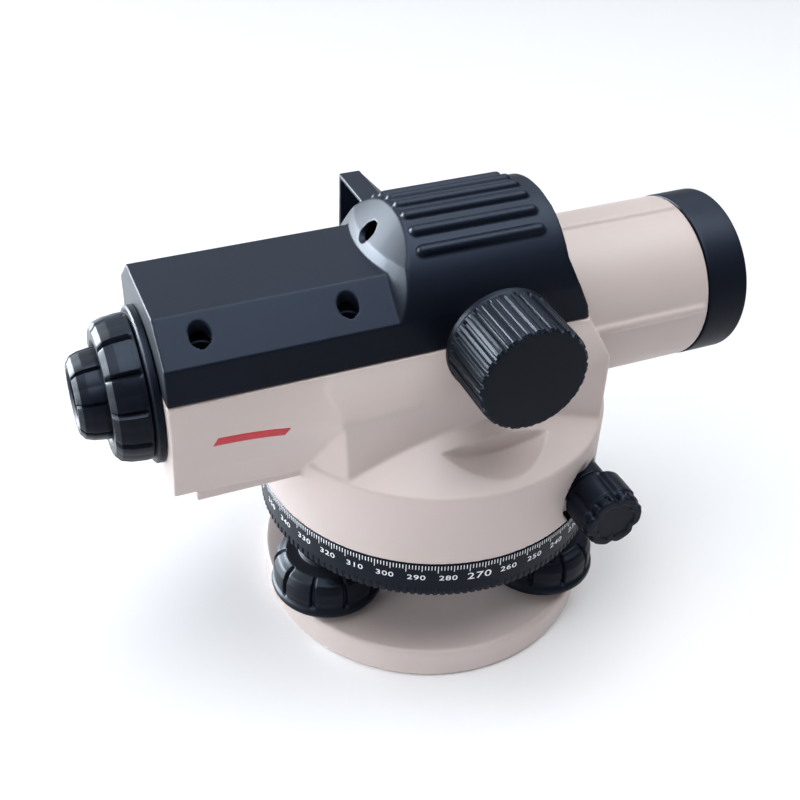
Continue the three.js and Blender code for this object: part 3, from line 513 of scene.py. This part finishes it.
def deliver(thing, name, body, slot, material=None, nodes=(), smooth_angle=None):
    """Moves a finished piece into the row frame and hands it to its body."""
    thing.data.transform(Matrix.Translation((AXIS_X, 0, 0)) @ Matrix.Scale(MM, 4))
    thing.name = name
    thing.data.materials.clear()
    thing.data.materials.append(material or MATERIALS[slot])
    if smooth_angle is None:
        thing.data.shade_smooth()
    else:
        thing.data.set_sharp_from_angle(angle=math.radians(smooth_angle))
    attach(thing, body)
    if nodes:
        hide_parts(*nodes)


def notches(lobes, depth, width, power):
    """How far a fluted rim steps in at an angle: narrow notches between broad lobes."""
    def dip(angles):
        phase = (angles / TAU * lobes) % 1 - 0.5
        return depth * np.exp(-np.abs(phase / width) ** power)
    return dip


# ---------------------------------------------------------------- base
def base_plate():
    """The round base plate, with a pit under each ball cup."""
    profile = [
        (TRIPOD_BORE_R, 0), (BASE_R - 5, 0), (BASE_R, 0), (BASE_R, BASE_TOP), (BASE_R - 5, BASE_TOP),
        (TRIPOD_BORE_R, BASE_TOP), (TRIPOD_BORE_R, 0)]
    body = turned("base", rounded(profile, EDGE_R, 8), segments=240)
    pits = []
    for name in FEET:
        low, high = local(f"ball_cup_{name}")
        r = (high.x - low.x) / 2 + GAP
        pits.append(rod("pit", r, low.z - GAP, BASE_TOP + 1, at=across(f"ball_cup_{name}")))
    carve(body, *pits)
    deliver(body, "base_casting", "base", "cream_paint", nodes=["base_plate"], smooth_angle=40)


def levelling_screw(name):
    """A lobed black knob on a threaded steel screw with a ball foot."""
    at = across(f"levelling_stud_{name}")
    low, high = local(f"levelling_knob_{name}")
    reach = (high.x - low.x) / 2
    dip = notches(KNOB_LOBES, 1.5, 0.06, 4)

    def flute(angles, r, h):
        grip = np.clip((h - low.z - 3.0) / 0.7, 0, 1) * np.clip((high.z - 1.4 - h) / 0.7, 0, 1)
        return r - grip * np.clip((r - 12) / 3, 0, 1) * (dip(angles) + 0.3)

    edge = [
        (KNOB_BORE_R, low.z), (reach - 0.4, low.z), (reach, low.z + 1.1), (reach - 0.2, low.z + 2.4),
        (reach - 0.9, low.z + 3.1), (reach - 0.6, low.z + 6), (reach - 0.9, high.z - 6),
        (reach - 2.2, high.z - 3.2), (reach - 5.2, high.z - 1.5), (9.6, high.z - 1.1),
        (9.3, high.z), (7.7, high.z), (7.4, high.z - 1.4), (KNOB_BORE_R, high.z - 1.4),
        (KNOB_BORE_R, low.z)]
    knob = turned("knob", fine_steps(rounded(edge, 2.0), 0.6), at=at, segments=320, flute=flute)
    deliver(knob, f"levelling_grip_{name}", f"knob_{name}", "black_plastic", GRIP,
            [f"levelling_knob_{name}"], 50)
    stud_low, stud_high = local(f"levelling_stud_{name}")
    centre_z = stud_low.z + BALL_SEAT_R
    ball = [(BALL_R * math.cos(a), centre_z + BALL_R * math.sin(a))
            for a in np.radians(np.linspace(-90, 53, 24))]
    ball[0] = (0, centre_z - BALL_R)
    crests = []
    z = low.z
    while z < stud_high.z - 1.5:
        crests += [
            (THREAD_ROOT_R, z), (THREAD_R, z + THREAD_PITCH * 0.35), (THREAD_R, z + THREAD_PITCH * 0.5),
            (THREAD_ROOT_R, z + THREAD_PITCH * 0.9)]
        z += THREAD_PITCH
    profile = [*ball, (STUD_NECK_R, centre_z + 3.6), (STUD_NECK_R, low.z - 0.5), *crests,
               (2.4, stud_high.z), (0, stud_high.z)]
    stud = turned("stud", profile, at=at, segments=64)
    deliver(stud, f"levelling_thread_{name}", f"stud_{name}", "steel",
            nodes=[f"levelling_stud_{name}"], smooth_angle=30)


def tribrach_casting():
    """The disc that carries the standing axis, with a boss round each levelling screw."""
    low, high = local("tribrach")
    disc = turned("disc", rounded([
        (AXIS_BORE_R, low.z + 8), (HUB_R, low.z + 5), (HUB_R, low.z + 8), (high.y, DISC_BOTTOM),
        (high.y, DISC_TOP), (HUB_R, DISC_TOP), (HUB_R, high.z), (AXIS_BORE_R, high.z),
        (AXIS_BORE_R, low.z + 8)], 0.5), segments=192)
    feet = [across(f"levelling_stud_{name}") for name in FEET]
    join(disc, *[rod("boss", BOSS_R, low.z, BOSS_TOP, at=at) for at in feet])
    carve(disc, *[rod("bore", KNOB_BORE_R, low.z - 1, BOSS_TOP + 1, at=at) for at in feet])
    deliver(disc, "tribrach_casting", "tribrach", "aluminium", nodes=["tribrach"], smooth_angle=30)


# ---------------------------------------------------------------- horizontal circle
def circle_body():
    """The graduated ring, knurled along its lower edge."""
    top, bottom = CIRCLE_HIGH.z, CIRCLE_LOW.z
    dip = notches(CIRCLE_SLOTS, 0.5, 0.2, 6)

    def flute(angles, r, h):
        depth = np.clip((bottom + 3.2 - h) / 0.5, 0, 1) * (r > CIRCLE_R - 1.5)
        return r - dip(angles) * depth

    profile = [
        (CIRCLE_BORE_R, bottom), (CIRCLE_R - 0.4, bottom), (CIRCLE_FACE_R, bottom + 0.5),
        (CIRCLE_FACE_R, bottom + 2.7), (CIRCLE_FACE_R, bottom + 3.2), (CIRCLE_FACE_R, top - 0.3),
        (CIRCLE_R - 0.3, top), (CIRCLE_R - 3.5, top), (CIRCLE_R - 3.5, 49.2), (CIRCLE_LIP_R, 49.2),
        (CIRCLE_LIP_R, 46.5), (CIRCLE_BORE_R, 46.5), (CIRCLE_BORE_R, bottom)]
    body = turned("circle", profile, segments=CIRCLE_SLOTS * 12, flute=flute)
    deliver(body, "circle_ring", "circle", "black_plastic", nodes=["horizontal_circle"],
            smooth_angle=35)


def circle_marks():
    """White degree ticks round the ring's outside, longer at each five and ten."""
    sunk = 0.25
    top = CIRCLE_HIGH.z - 0.3
    points, faces = [], []

    def tile(angle, half_width, low, high):
        first = len(points)
        for r in (CIRCLE_R - sunk, CIRCLE_FACE_R + MARK_PROUD):
            for turn, z in ((-1, low), (1, low), (1, high), (-1, high)):
                a = angle + turn * half_width / CIRCLE_R
                points.append((r * math.cos(a), r * math.sin(a), z))
        ends = [(0, 1, 2, 3), (4, 5, 6, 7)]
        sides = [(k, (k + 1) % 4, (k + 1) % 4 + 4, k + 4) for k in range(4)]
        faces.extend(tuple(first + k for k in quad) for quad in ends + sides)

    for degree in range(360):
        length = next(TICK_LENGTHS[step] for step in TICK_LENGTHS if degree % step == 0)
        tile(math.radians(degree), TICK_HALF_WIDTH, top - length, top)
    marks = scratch("marks", points, faces)
    deliver(marks, "circle_ticks", "circle", "black_plastic", WHITE_PAINT)


def circle_figures():
    """White figures in tens, wrapped round the ring below its ticks."""
    sunk = 0.2
    middle_z = CIRCLE_HIGH.z - FIGURE_DROP
    points, faces = [], []
    for figure in range(0, 360, 10):
        size = QUARTER_SIZE if figure % 90 == 0 else FIGURE_SIZE
        curve = bpy.data.curves.new("figure", "FONT")
        curve.body = str(figure)
        curve.size = size
        curve.align_x = "CENTER"
        curve.extrude = 0.1
        curve.offset = 0.02
        curve.space_character = 1.1
        curve.resolution_u = 3
        text = bpy.data.objects.new("figure", curve)
        bpy.context.scene.collection.objects.link(text)
        bpy.context.view_layer.update()
        mesh = bpy.data.meshes.new_from_object(
            text.evaluated_get(bpy.context.evaluated_depsgraph_get()))
        bpy.data.objects.remove(text)
        first = len(points)
        centre = math.radians(FIGURE_START + figure * FIGURE_TURN)
        for vertex in mesh.vertices:
            x, y, z = vertex.co
            angle = centre + x * FIGURE_STRETCH / CIRCLE_R
            r = CIRCLE_FACE_R + MARK_PROUD if z > 0 else CIRCLE_R - sunk
            points.append((r * math.cos(angle), r * math.sin(angle), middle_z + y - size * 0.36))
        faces += [tuple(first + v for v in face.vertices) for face in mesh.polygons]
    marks = scratch("figures", points, faces)
    deliver(marks, "circle_numbers", "circle", "black_plastic", WHITE_PAINT)


# ---------------------------------------------------------------- main housing
def spline(points, steps=6):
    """A smooth line through a few points."""
    pts = [np.array(p, float) for p in points]
    pts = [2 * pts[0] - pts[1], *pts, 2 * pts[-1] - pts[-2]]
    result = []
    for a, b, c, d in zip(pts, pts[1:], pts[2:], pts[3:]):
        for k in range(steps):
            t = k / steps
            result.append(tuple(0.5 * (
                2 * b + (c - a) * t + (2 * a - 5 * b + 4 * c - d) * t * t
                + (3 * b - a - 3 * c + d) * t ** 3)))
    return [*result, tuple(pts[-2])]


def body_section(shoulder, mid, sill, bottom):
    """The rear body's outline in (y, z): straight under the seam, bulging, then drawn in."""
    bulge = shoulder - SIDE_Y
    half = [(sill, bottom), *spline([
        (mid, 88), (shoulder, 99), (SIDE_Y + 0.86 * bulge, 104), (SIDE_Y + 0.52 * bulge, 108.5),
        (SIDE_Y, SEAM_Z - 0.2)])]
    return half + [(-y, z) for y, z in reversed(half)]


def housing_outside():
    """The casting's outer form: drum, rear body, neck, telescope tube, ledge and bubble lug."""
    shoulder_top = DRUM_RIM + SHOULDER_SLOPE * (DRUM_R - SHOULDER_INNER_R)
    drum = turned("drum", [
        (0, DRUM_BOTTOM), (DRUM_R, DRUM_BOTTOM), (DRUM_R, DRUM_RIM),
        (SHOULDER_INNER_R, shoulder_top), (0, shoulder_top)], segments=240)
    rear_end, neck = REAR_X, -44.5
    sections = []
    for x in [*np.linspace(rear_end, neck, 28), -20]:
        t = min(1.0, (x - rear_end) / (neck - rear_end))
        swell = t ** 3.2
        sections.append((x, body_section(
            27.3 + 8.3 * swell, 26.2 + 4.3 * swell, 24.5 - 1.5 * t, 78.5 - 2.5 * t)))
    rear = loft("rear", sections)
    centre = loft("centre", [(x, body_section(35.6, 36.4, 36.9, 60)) for x in (-NECK_R, NECK_R)])
    common(
        centre,
        rod("neck", NECK_R, 56, 120, segments=240),
        prism("side", [
            (-NECK_R, 56), (50, 56), (50, 90), (47.5, 95), (FRONT_X, SEAM_Z), (neck, SEAM_Z),
            (-NECK_R, SEAM_Z - 14)], -60, 60, "Y"))
    tube = rod("tube", TUBE_R, 20, TUBE_END, "X", (0, SIGHT_Z), 192)
    ledge = box("ledge", *LEDGE)
    lug = rod("lug", BUBBLE_R + 1, LUG_LOW, LUG_TOP, at=(BUBBLE_X, BUBBLE_Y))
    return join(drum, rear, centre, tube, ledge, lug, *tube_ribs())


def capsule(name, r, x, at):
    """A rib along X with round ends."""
    ends = [(r * math.cos(a), x[1] - r + r * math.sin(a)) for a in np.linspace(0, math.pi / 2, 8)]
    starts = [(r * math.cos(a), x[0] + r - r * math.sin(a)) for a in np.linspace(math.pi / 2, 0, 8)]
    starts[0] = (0, x[0])
    ends[-1] = (0, x[1])
    return turned(name, starts + ends, "X", at, 32)


def tube_ribs():
    """Three ribs along the telescope tube."""
    ribs = []
    for angle in (7.5, 86, 172.5):
        a = math.radians(angle)
        at = (-(TUBE_R - 0.4) * math.cos(a), SIGHT_Z + (TUBE_R - 0.4) * math.sin(a))
        ribs.append(capsule("rib", 1.6, (38.9, 84.1), at))
    return ribs


def main_housing():
    """The cream casting, hollowed for the drum, the optics, the focus knob and the fine drive."""
    body = housing_outside()
    cover_room = prism("cover_room", [
        (REAR_X - 1, SEAM_Z - 0.2), (FRONT_X + 0.3, SEAM_Z - 0.2), (39.1, 118), (34.5, 128),
        (32.3, 134), (31.8, 150), (REAR_X - 1, 150)], -60, 60, "Y")
    carve(
        body, cover_room,
        rod("drum_hollow", DRUM_R - DRUM_WALL, DRUM_BOTTOM - 1, CEILING_Z, segments=192),
        box("cavity", (-80, 38), (-24, 24), (84, SEAM_Z + 1)),
        rod("tube_bore", TUBE_BORE_R, 30, TUBE_END + 1, "X", (0, SIGHT_Z), 144),
        rod("eye_bore", EYE_BORE_R, REAR_X - 1, -79, "X", (0, SIGHT_Z)),
        rod("scoop", SCOOP_R, -80, SCOOP_Y, "Y", (FOCUS_X, FOCUS_Z + 0.3), 240),
        rod("bubble_room", BUBBLE_R + 0.6, LUG_TOP, SEAM_Z + 1, at=(BUBBLE_X, BUBBLE_Y)))
    walls = []
    for side in (-1, 1):
        depth = sorted((side * (POCKET_FLOOR - 3), side * 60))
        wall = rod("wall", POCKET_R + 2.5, *depth, "Y", (TANGENT_X, TANGENT_Z))
        walls.append(common(wall, rod("inside", DRUM_R - 1, DRUM_BOTTOM, 78)))
    hub = rod("hub", 20, 68, 80)
    boss = rod("boss", 8, -31, -22, "Y", (FOCUS_X, FOCUS_Z))
    saddle = box("saddle", (FOCUS_X - 8, FOCUS_X + 8), (-31, -22), (105, FOCUS_Z))
    join(body, *walls, hub, boss, saddle)
    carve(
        body,
        *[rod("pocket", POCKET_R, *sorted((s * POCKET_FLOOR, s * 80)), "Y", (TANGENT_X, TANGENT_Z))
          for s in (-1, 1)],
        rod("sleeve_seat", 12.8, 66, 82),
        rod("focus_bore", 6, -40, -20, "Y", (FOCUS_X, FOCUS_Z)),
        rod("tangent_bore", 7.5, -60, 60, "Y", (TANGENT_X, TANGENT_Z)))
    cast(body, CASTING_VOXEL, 3)
    deliver(body, "housing_casting", "head", "cream_paint", nodes=["main_housing"])
    side_stripe(body)


def side_stripe(housing):
    """A plain red stripe laid on the right side of the housing."""
    left, right = STRIPE_X
    low, high = STRIPE_Z
    columns, rows = 24, 4
    inwards = Vector((0, 1, 0))
    points = []
    for i in range(columns + 1):
        for k in range(rows + 1):
            x = left + (right - left) * i / columns + STRIPE_SLANT * k / rows
            z = low + (high - low) * k / rows
            start = Vector((x * MM + AXIS_X, -60 * MM, z * MM))
            _, place, _, _ = housing.ray_cast(start, inwards)
            points.append(((place.x - AXIS_X) / MM, place.y / MM, place.z / MM))
    step = rows + 1
    faces = [(i * step + k, (i + 1) * step + k, (i + 1) * step + k + 1, i * step + k + 1)
             for i in range(columns) for k in range(rows)]
    stripe = scratch("stripe", points, faces)
    skin = stripe.modifiers.new("skin", "SOLIDIFY")
    skin.thickness = 2 * STRIPE_HALF_THICKNESS
    skin.offset = 0
    applied(stripe)
    deliver(stripe, "side_stripe", "head", "cream_paint", RED_PAINT)


# ---------------------------------------------------------------- top cover
def roof_section(side, inset, low):
    """The flat roof's outline in (y, z), with its two broad chamfers."""
    half = [(side, low), (side - inset * 0.4, CHAMFER_Z - inset * 0.6),
            (ROOF_Y - inset * 0.5, ROOF_Z - inset)]
    return half + [(-y, z) for y, z in reversed(half)]


def arch_section(r, side, low):
    """The dome's outline in (y, z): straight sides under a round arch."""
    angles = np.radians(np.linspace(12, 90, 30))
    turn = [(r * math.cos(a), ARCH_Z + r * math.sin(a)) for a in angles]
    half = [(side, low), (side, ARCH_Z + 3), *turn]
    return half + [(-y, z) for y, z in reversed(half[:-1])]


def dome_side(inset):
    """The dome between its sloping front and the cone that ends it at the rear."""
    front = prism("dome_side", [
        (-50, SEAM_Z - 1), (-50, 149), (31.5 - inset, 149), (32 - inset, 134), (34.2 - inset, 128),
        (38.8 - inset, 118), (FRONT_X - inset, SEAM_Z - 1)], -50, 50, "Y")
    slope = [(CRESCENT_X - x - inset, z) for z, x in CRESCENT]
    cone = turned("cone", [(0, 112), *slope, (0, 149.8)], at=(CRESCENT_X, 0), segments=240)
    return common(front, cone)


def hood():
    """The hood over the bubble's mirror: a short roof, a slope and an outer wall."""
    foot = HOOD_BOTTOM + 3
    roof = box("hood", (HOOD_REAR_X, HOOD_ROOF_X + 0.4), (18, HOOD_Y), (HOOD_TOP - HOOD_T, HOOD_TOP))
    slope = prism("slope", [
        (HOOD_ROOF_X, HOOD_TOP), (HOOD_FRONT_X, foot), (HOOD_FRONT_X - 2.3, foot),
        (HOOD_ROOF_X - 2.3, HOOD_TOP)], 18, HOOD_Y, "Y")
    wall = prism("hood_wall", [
        (HOOD_REAR_X, HOOD_TOP), (HOOD_ROOF_X, HOOD_TOP), (HOOD_FRONT_X, foot),
        (HOOD_FRONT_X, HOOD_BOTTOM), (HOOD_REAR_X, HOOD_BOTTOM)], HOOD_Y - HOOD_T, HOOD_Y, "Y")
    return join(roof, slope, wall)


def cover_ribs():
    """Seven ribs over the dome."""
    ribs = []
    for angle in (52, 65.5, 78.5, 90.5, 102.5, 115, 128):
        a = math.radians(angle)
        at = (-ARCH_R * math.cos(a), ARCH_Z + ARCH_R * math.sin(a))
        ribs.append(capsule("rib", 1.7, (-15.2, 26.2), at))
    return ribs


def top_cover():
    """The black cover: roof, ribbed dome and hood over a hollow, with four screw posts."""
    roof = prism("roof", roof_section(SIDE_Y, 0, SEAM_Z), REAR_X, 0, "X")
    dome = prism("dome", arch_section(ARCH_R, SIDE_Y, SEAM_Z), -40, 50, "X")
    common(dome, dome_side(0))
    inside = SIDE_Y - COVER_WALL
    join(roof, dome, hood(), *cover_ribs())
    hollow = prism(
        "hollow", roof_section(inside, COVER_WALL, SEAM_Z - 1), REAR_X + COVER_WALL, 0, "X")
    dome_hollow = prism(
        "dome_hollow", arch_section(ARCH_R - COVER_WALL, inside, SEAM_Z - 1), -40, 50, "X")
    common(dome_hollow, dome_side(COVER_WALL))
    carve(roof, join(hollow, dome_hollow))
    posts = []
    for at in COVER_SCREWS:
        post = rod("post", 5.4, SEAM_Z, 127, at=at, segments=64)
        within = prism("within", roof_section(SIDE_Y - 0.4, 0.4, SEAM_Z), REAR_X, 0, "X")
        posts.append(common(post, within))
    join(roof, *posts)
    carve(
        roof,
        *[rod("well", WELL_R, 117, 145, at=at, segments=64) for at in COVER_SCREWS],
        *[rod("shank_hole", 1.9, 100, 130, at=at, segments=32) for at in COVER_SCREWS],
        rod("sight_hole", SIGHT_HOLE_R, -30, -16, "X", (1.5, 140.2), 64),
        rod("tube_bore", TUBE_BORE_R, 20, 50, "X", (0, SIGHT_Z)),
        rod("eye_bore", EYE_BORE_R, REAR_X - 1, -79, "X", (0, SIGHT_Z)),
        rod("focus_boss", 8.3, -40, -20, "Y", (FOCUS_X, FOCUS_Z)),
        box("focus_slot", (FOCUS_X - 8.3, FOCUS_X + 8.3), (-40, -20), (105, FOCUS_Z)),
        rod("bubble_room", BUBBLE_R + 0.6, LUG_TOP, 122, at=(BUBBLE_X, BUBBLE_Y)))
    cast(roof, COVER_VOXEL, 3)
    deliver(roof, "cover_moulding", "head", "black_plastic", nodes=["top_cover"])


def cover_screw(i):
    """A cross-slotted screw at the bottom of its well."""
    node = f"cover_screw_{i + 1}"
    low, high = local(node)
    at = ((low.x + high.x) / 2, (low.y + high.y) / 2)
    profile = rounded([
        (0, low.z), (1.5, low.z), (1.5, high.z - 2.6), (SCREW_HEAD_R, high.z - 2.6),
        (SCREW_HEAD_R, high.z - 0.6), (SCREW_HEAD_R - 0.5, high.z), (0, high.z)], 0.25)
    screw = turned("screw", profile, at=at, segments=64)
    cross = [box("slot", (at[0] - a, at[0] + a), (at[1] - b, at[1] + b), (high.z - 1.4, high.z + 1))
             for a, b in ((1.6, 0.35), (0.35, 1.6))]
    carve(screw, *cross)
    deliver(screw, f"cover_fastener_{i + 1}", "head", "dark_metal", nodes=[node], smooth_angle=30)


# ---------------------------------------------------------------- optics seen from outside
def objective():
    """The black ring at the telescope's front, the objective lens and its retainer."""
    low, high = local("objective_ring")
    front, r = high.x, high.y
    profile = rounded([
        (21, low.x), (TUBE_BORE_R - 0.3, low.x), (TUBE_BORE_R - 0.3, TUBE_END + 0.3),
        (r, TUBE_END + 0.3), (r, front), (24.2, front), (23.4, front - 1.6), (21, 96),
        (21, low.x)], 0.7)
    body = turned("objective", fine_steps(profile, 1.5), "X", (0, SIGHT_Z), 192)
    deliver(body, "objective_mount", "head", "black_plastic", nodes=["objective_ring"], smooth_angle=40)
    lens_low, lens_high = local("objective_lens")
    bulge = [(r, lens_high.x - 0.0075 * r * r) for r in np.linspace(0, LENS_R, 24)]
    glass = turned("glass", [(0, lens_low.x), (LENS_R, lens_low.x + 2), *reversed(bulge)],
                   "X", (0, SIGHT_Z))
    deliver(glass, "objective_glass", "head", "lens_glass", nodes=["objective_lens"], smooth_angle=40)
    keep_low, keep_high = local("objective_retainer")
    keep = ring("retainer", LENS_R, 18.5, keep_low.x, keep_high.x, "X", (0, SIGHT_Z), 0.4)
    deliver(keep, "objective_keeper", "head", "dark_metal", nodes=["objective_retainer"],
            smooth_angle=40)


def eyepiece():
    """The flange on the rear face, and the large and small lobed rings."""
    low, high = local("eyepiece_flange")
    r = high.y
    profile = [
        (EYE_BORE_R, low.x), (r - 2.2, low.x), (r - 2.2, low.x + 0.4), (r - 1.4, low.x + 0.2),
        (r - 0.5, low.x + 0.2), (r, low.x + 0.7), (r, high.x), (EYE_BORE_R, high.x),
        (EYE_BORE_R, low.x)]
    flange = turned("flange", rounded(profile, 0.2), "X", (0, SIGHT_Z), 192)
    deliver(flange, "eyepiece_plate", "head", "black_plastic", nodes=["eyepiece_flange"],
            smooth_angle=40)
    lobed_cap("eyepiece_cover", "eyepiece_grip", "head", 12, 1.6, 15.0, EYE_BORE_R, 3.2)
    lobed_cap("diopter_ring", "diopter_grip", "diopter", 8, 1.3, 8.2, 6.6, 1.4)


def lobed_cap(node, name, body, lobes, depth, mouth_r, bore_r, mouth_depth):
    """A knurled ring whose front face is dished, with broad lobes between narrow notches."""
    low, high = local(node)
    back, front = high.x, low.x
    r = (high.y - low.y) / 2
    length = back - front
    dip = notches(lobes, depth, 0.05, 4)

    def flute(angles, radius, h):
        along = np.clip((back - 0.5 - h) / 0.6, 0, 1)
        grip = along * np.clip((radius - mouth_r - 1.4) / 1.2, 0, 1)
        lobe = 0.25 * (1 - (np.abs((angles / TAU * lobes) % 1 - 0.5) * 2) ** 2) - 0.25
        return radius - grip * dip(angles) + grip * lobe

    edge = [
        (bore_r, back), (r - 0.1, back), (r, back - 0.2 * length), (r - 0.5, front + 0.4 * length),
        (r - 1.4, front + 0.14 * length), (r - 3.2, front), (mouth_r + 1.0, front),
        (mouth_r, front + 0.8), (mouth_r, front + mouth_depth), (bore_r, front + mouth_depth),
        (bore_r, back)]
    cap = turned("cap", fine_steps(rounded(edge, 0.5), 0.7), "X", (0, SIGHT_Z), 240, flute)
    if node == "diopter_ring":
        carve(cap, rod("barrel_room", 9.3, -112.9, -105, "X", (0, SIGHT_Z)),
              rod("body_room", 12.1, -109, -105, "X", (0, SIGHT_Z)))
    deliver(cap, name, body, "black_plastic", GRIP, [node], 40)


# ---------------------------------------------------------------- knobs
def focus_knob():
    """A flat-faced knob with broad ribs, each with a fine seam, between narrow grooves."""
    low, high = local("focus_knob")
    face, back, r = low.y, high.y, (high.x - low.x) / 2
    at = ((low.x + high.x) / 2, (low.z + high.z) / 2)

    def flute(angles, radius, h):
        grip = np.clip((back - 2.2 - h) / 0.4, 0, 1) * np.clip((radius - (r - 1.4)) / 0.5, 0, 1)
        phase = (angles / TAU * FOCUS_RIBS) % 1
        groove = np.exp(-np.abs((phase - 0.5) / 0.17) ** 6)
        seam = 0.3 * np.exp(-np.abs(((phase + 0.5) % 1 - 0.5) / 0.05) ** 4)
        return radius - grip * 0.85 * np.maximum(groove, seam)

    edge = [
        (0, face), (r - 1.3, face), (r - 0.4, face + 0.7), (r - 0.2, face + 2.4),
        (r - 0.2, back - 2), (r, back - 1.8), (r, back), (12, back),
        (11, back - 1.2), (2.8, back - 1.2), (2.8, face + 6), (0, face + 6)]
    profile = fine_steps(rounded(edge, 0.35), 0.8)
    knob = turned("knob", profile, "Y", at, FOCUS_RIBS * 24, flute)
    deliver(knob, "focus_grip", "focus_drive", "black_plastic", GRIP, ["focus_knob"], 40)


def tangent_knob(side, name):
    """A waisted knob with a toothed rim, and the collar it turns against."""
    node = f"tangent_knob_{name}"
    low, high = local(node)
    r = (high.z - low.z) / 2
    length = high.y - low.y
    lobe = notches(6, 1.3, 0.14, 2)
    rim = notches(18, 0.8, 0.2, 6)

    def flute(angles, radius, h):
        waist = np.clip((h - 2.4) / 0.8, 0, 1) * (radius > 4.5)
        at_rim = np.clip((h - (length - 3.1)) / 0.3, 0, 1) * np.clip((length - 0.5 - h) / 0.3, 0, 1)
        return radius - waist * lobe(angles) * radius / r - at_rim * rim(angles) * (radius > r - 2.6)

    edge = [
        (2.8, 0), (r - 3.2, 0), (r - 1.4, 2), (r - 0.1, 3.4), (r, 6), (r, length - 3.6),
        (r - 0.5, length - 3.2), (r - 0.5, length - 0.9), (r - 1.3, length), (r - 3.4, length),
        (r - 3.7, length - 0.5), (0, length - 0.5)]
    inner = [(0, length - 3), (2.8, length - 3), (2.8, 0)]
    outline = [*rounded(edge, 0.4), *inner]
    knob = turned("knob", fine_steps(outline, 0.5), "Z", (0, 0), 216, flute)
    direction = Matrix.Rotation(-side * math.pi / 2, 4, "X")
    base_y = high.y - length if side > 0 else low.y + length
    knob.data.transform(Matrix.Translation((TANGENT_X, base_y, TANGENT_Z)) @ direction)
    deliver(knob, f"tangent_grip_{name}", "tangent_drive", "black_plastic", GRIP, [node], 40)
    bush_low, bush_high = local(f"tangent_bush_{name}")
    bush = ring("bush", (bush_high.z - bush_low.z) / 2, 2.8, bush_low.y, bush_high.y, "Y",
                (TANGENT_X, TANGENT_Z), 0.4)
    deliver(bush, f"tangent_collar_{name}", "head", "black_plastic", nodes=[f"tangent_bush_{name}"],
            smooth_angle=40)


# ---------------------------------------------------------------- circular bubble
def bubble():
    """The circular bubble's cup and its domed vial."""
    at = (BUBBLE_X, BUBBLE_Y)
    low, high = local("bubble_case")
    profile = rounded([
        (0, low.z), (BUBBLE_R, low.z), (BUBBLE_R, high.z), (7.4, high.z), (7.4, 105.5), (0, 105.5)], 0.4)
    case = turned("case", profile, at=at)
    deliver(case, "bubble_cup", "head", "black_plastic", nodes=["bubble_case"], smooth_angle=40)
    vial_low, vial_high = local("bubble_vial")
    dome = [(r, vial_high.z - 0.02 * r * r) for r in np.linspace(0, 7.1, 16)]
    vial = turned("vial", [(0, vial_low.z), (7.1, vial_low.z), *reversed(dome)], at=at)
    deliver(vial, "bubble_glass", "head", "vial", nodes=["bubble_vial"], smooth_angle=40)


# ---------------------------------------------------------------- CAD nodes that stay
def finish_cad_nodes():
    """The inner pieces keep their CAD shape, with a soft edge and their own finish."""
    slots = {row["node"]: row["material_slot"] for row in frame["record"]["subparts"]}
    for name, node in frame["nodes"].items():
        node.data.materials.clear()
        node.data.materials.append(MATERIALS[slots[name]])
        if node.hide_render:
            continue
        edge = node.modifiers.new("edge", "BEVEL")
        edge.width = 0.15 * MM
        edge.segments = 2
        edge.limit_method = "ANGLE"
        edge.angle_limit = math.radians(40)
        node.data.set_sharp_from_angle(angle=math.radians(40))


look()
studio()
base_plate()
for foot in FEET:
    levelling_screw(foot)
tribrach_casting()
circle_body()
circle_marks()
circle_figures()
main_housing()
top_cover()
for index in range(len(COVER_SCREWS)):
    cover_screw(index)
objective()
eyepiece()
focus_knob()
tangent_knob(-1, "right")
tangent_knob(1, "left")
bubble()
finish_cad_nodes()
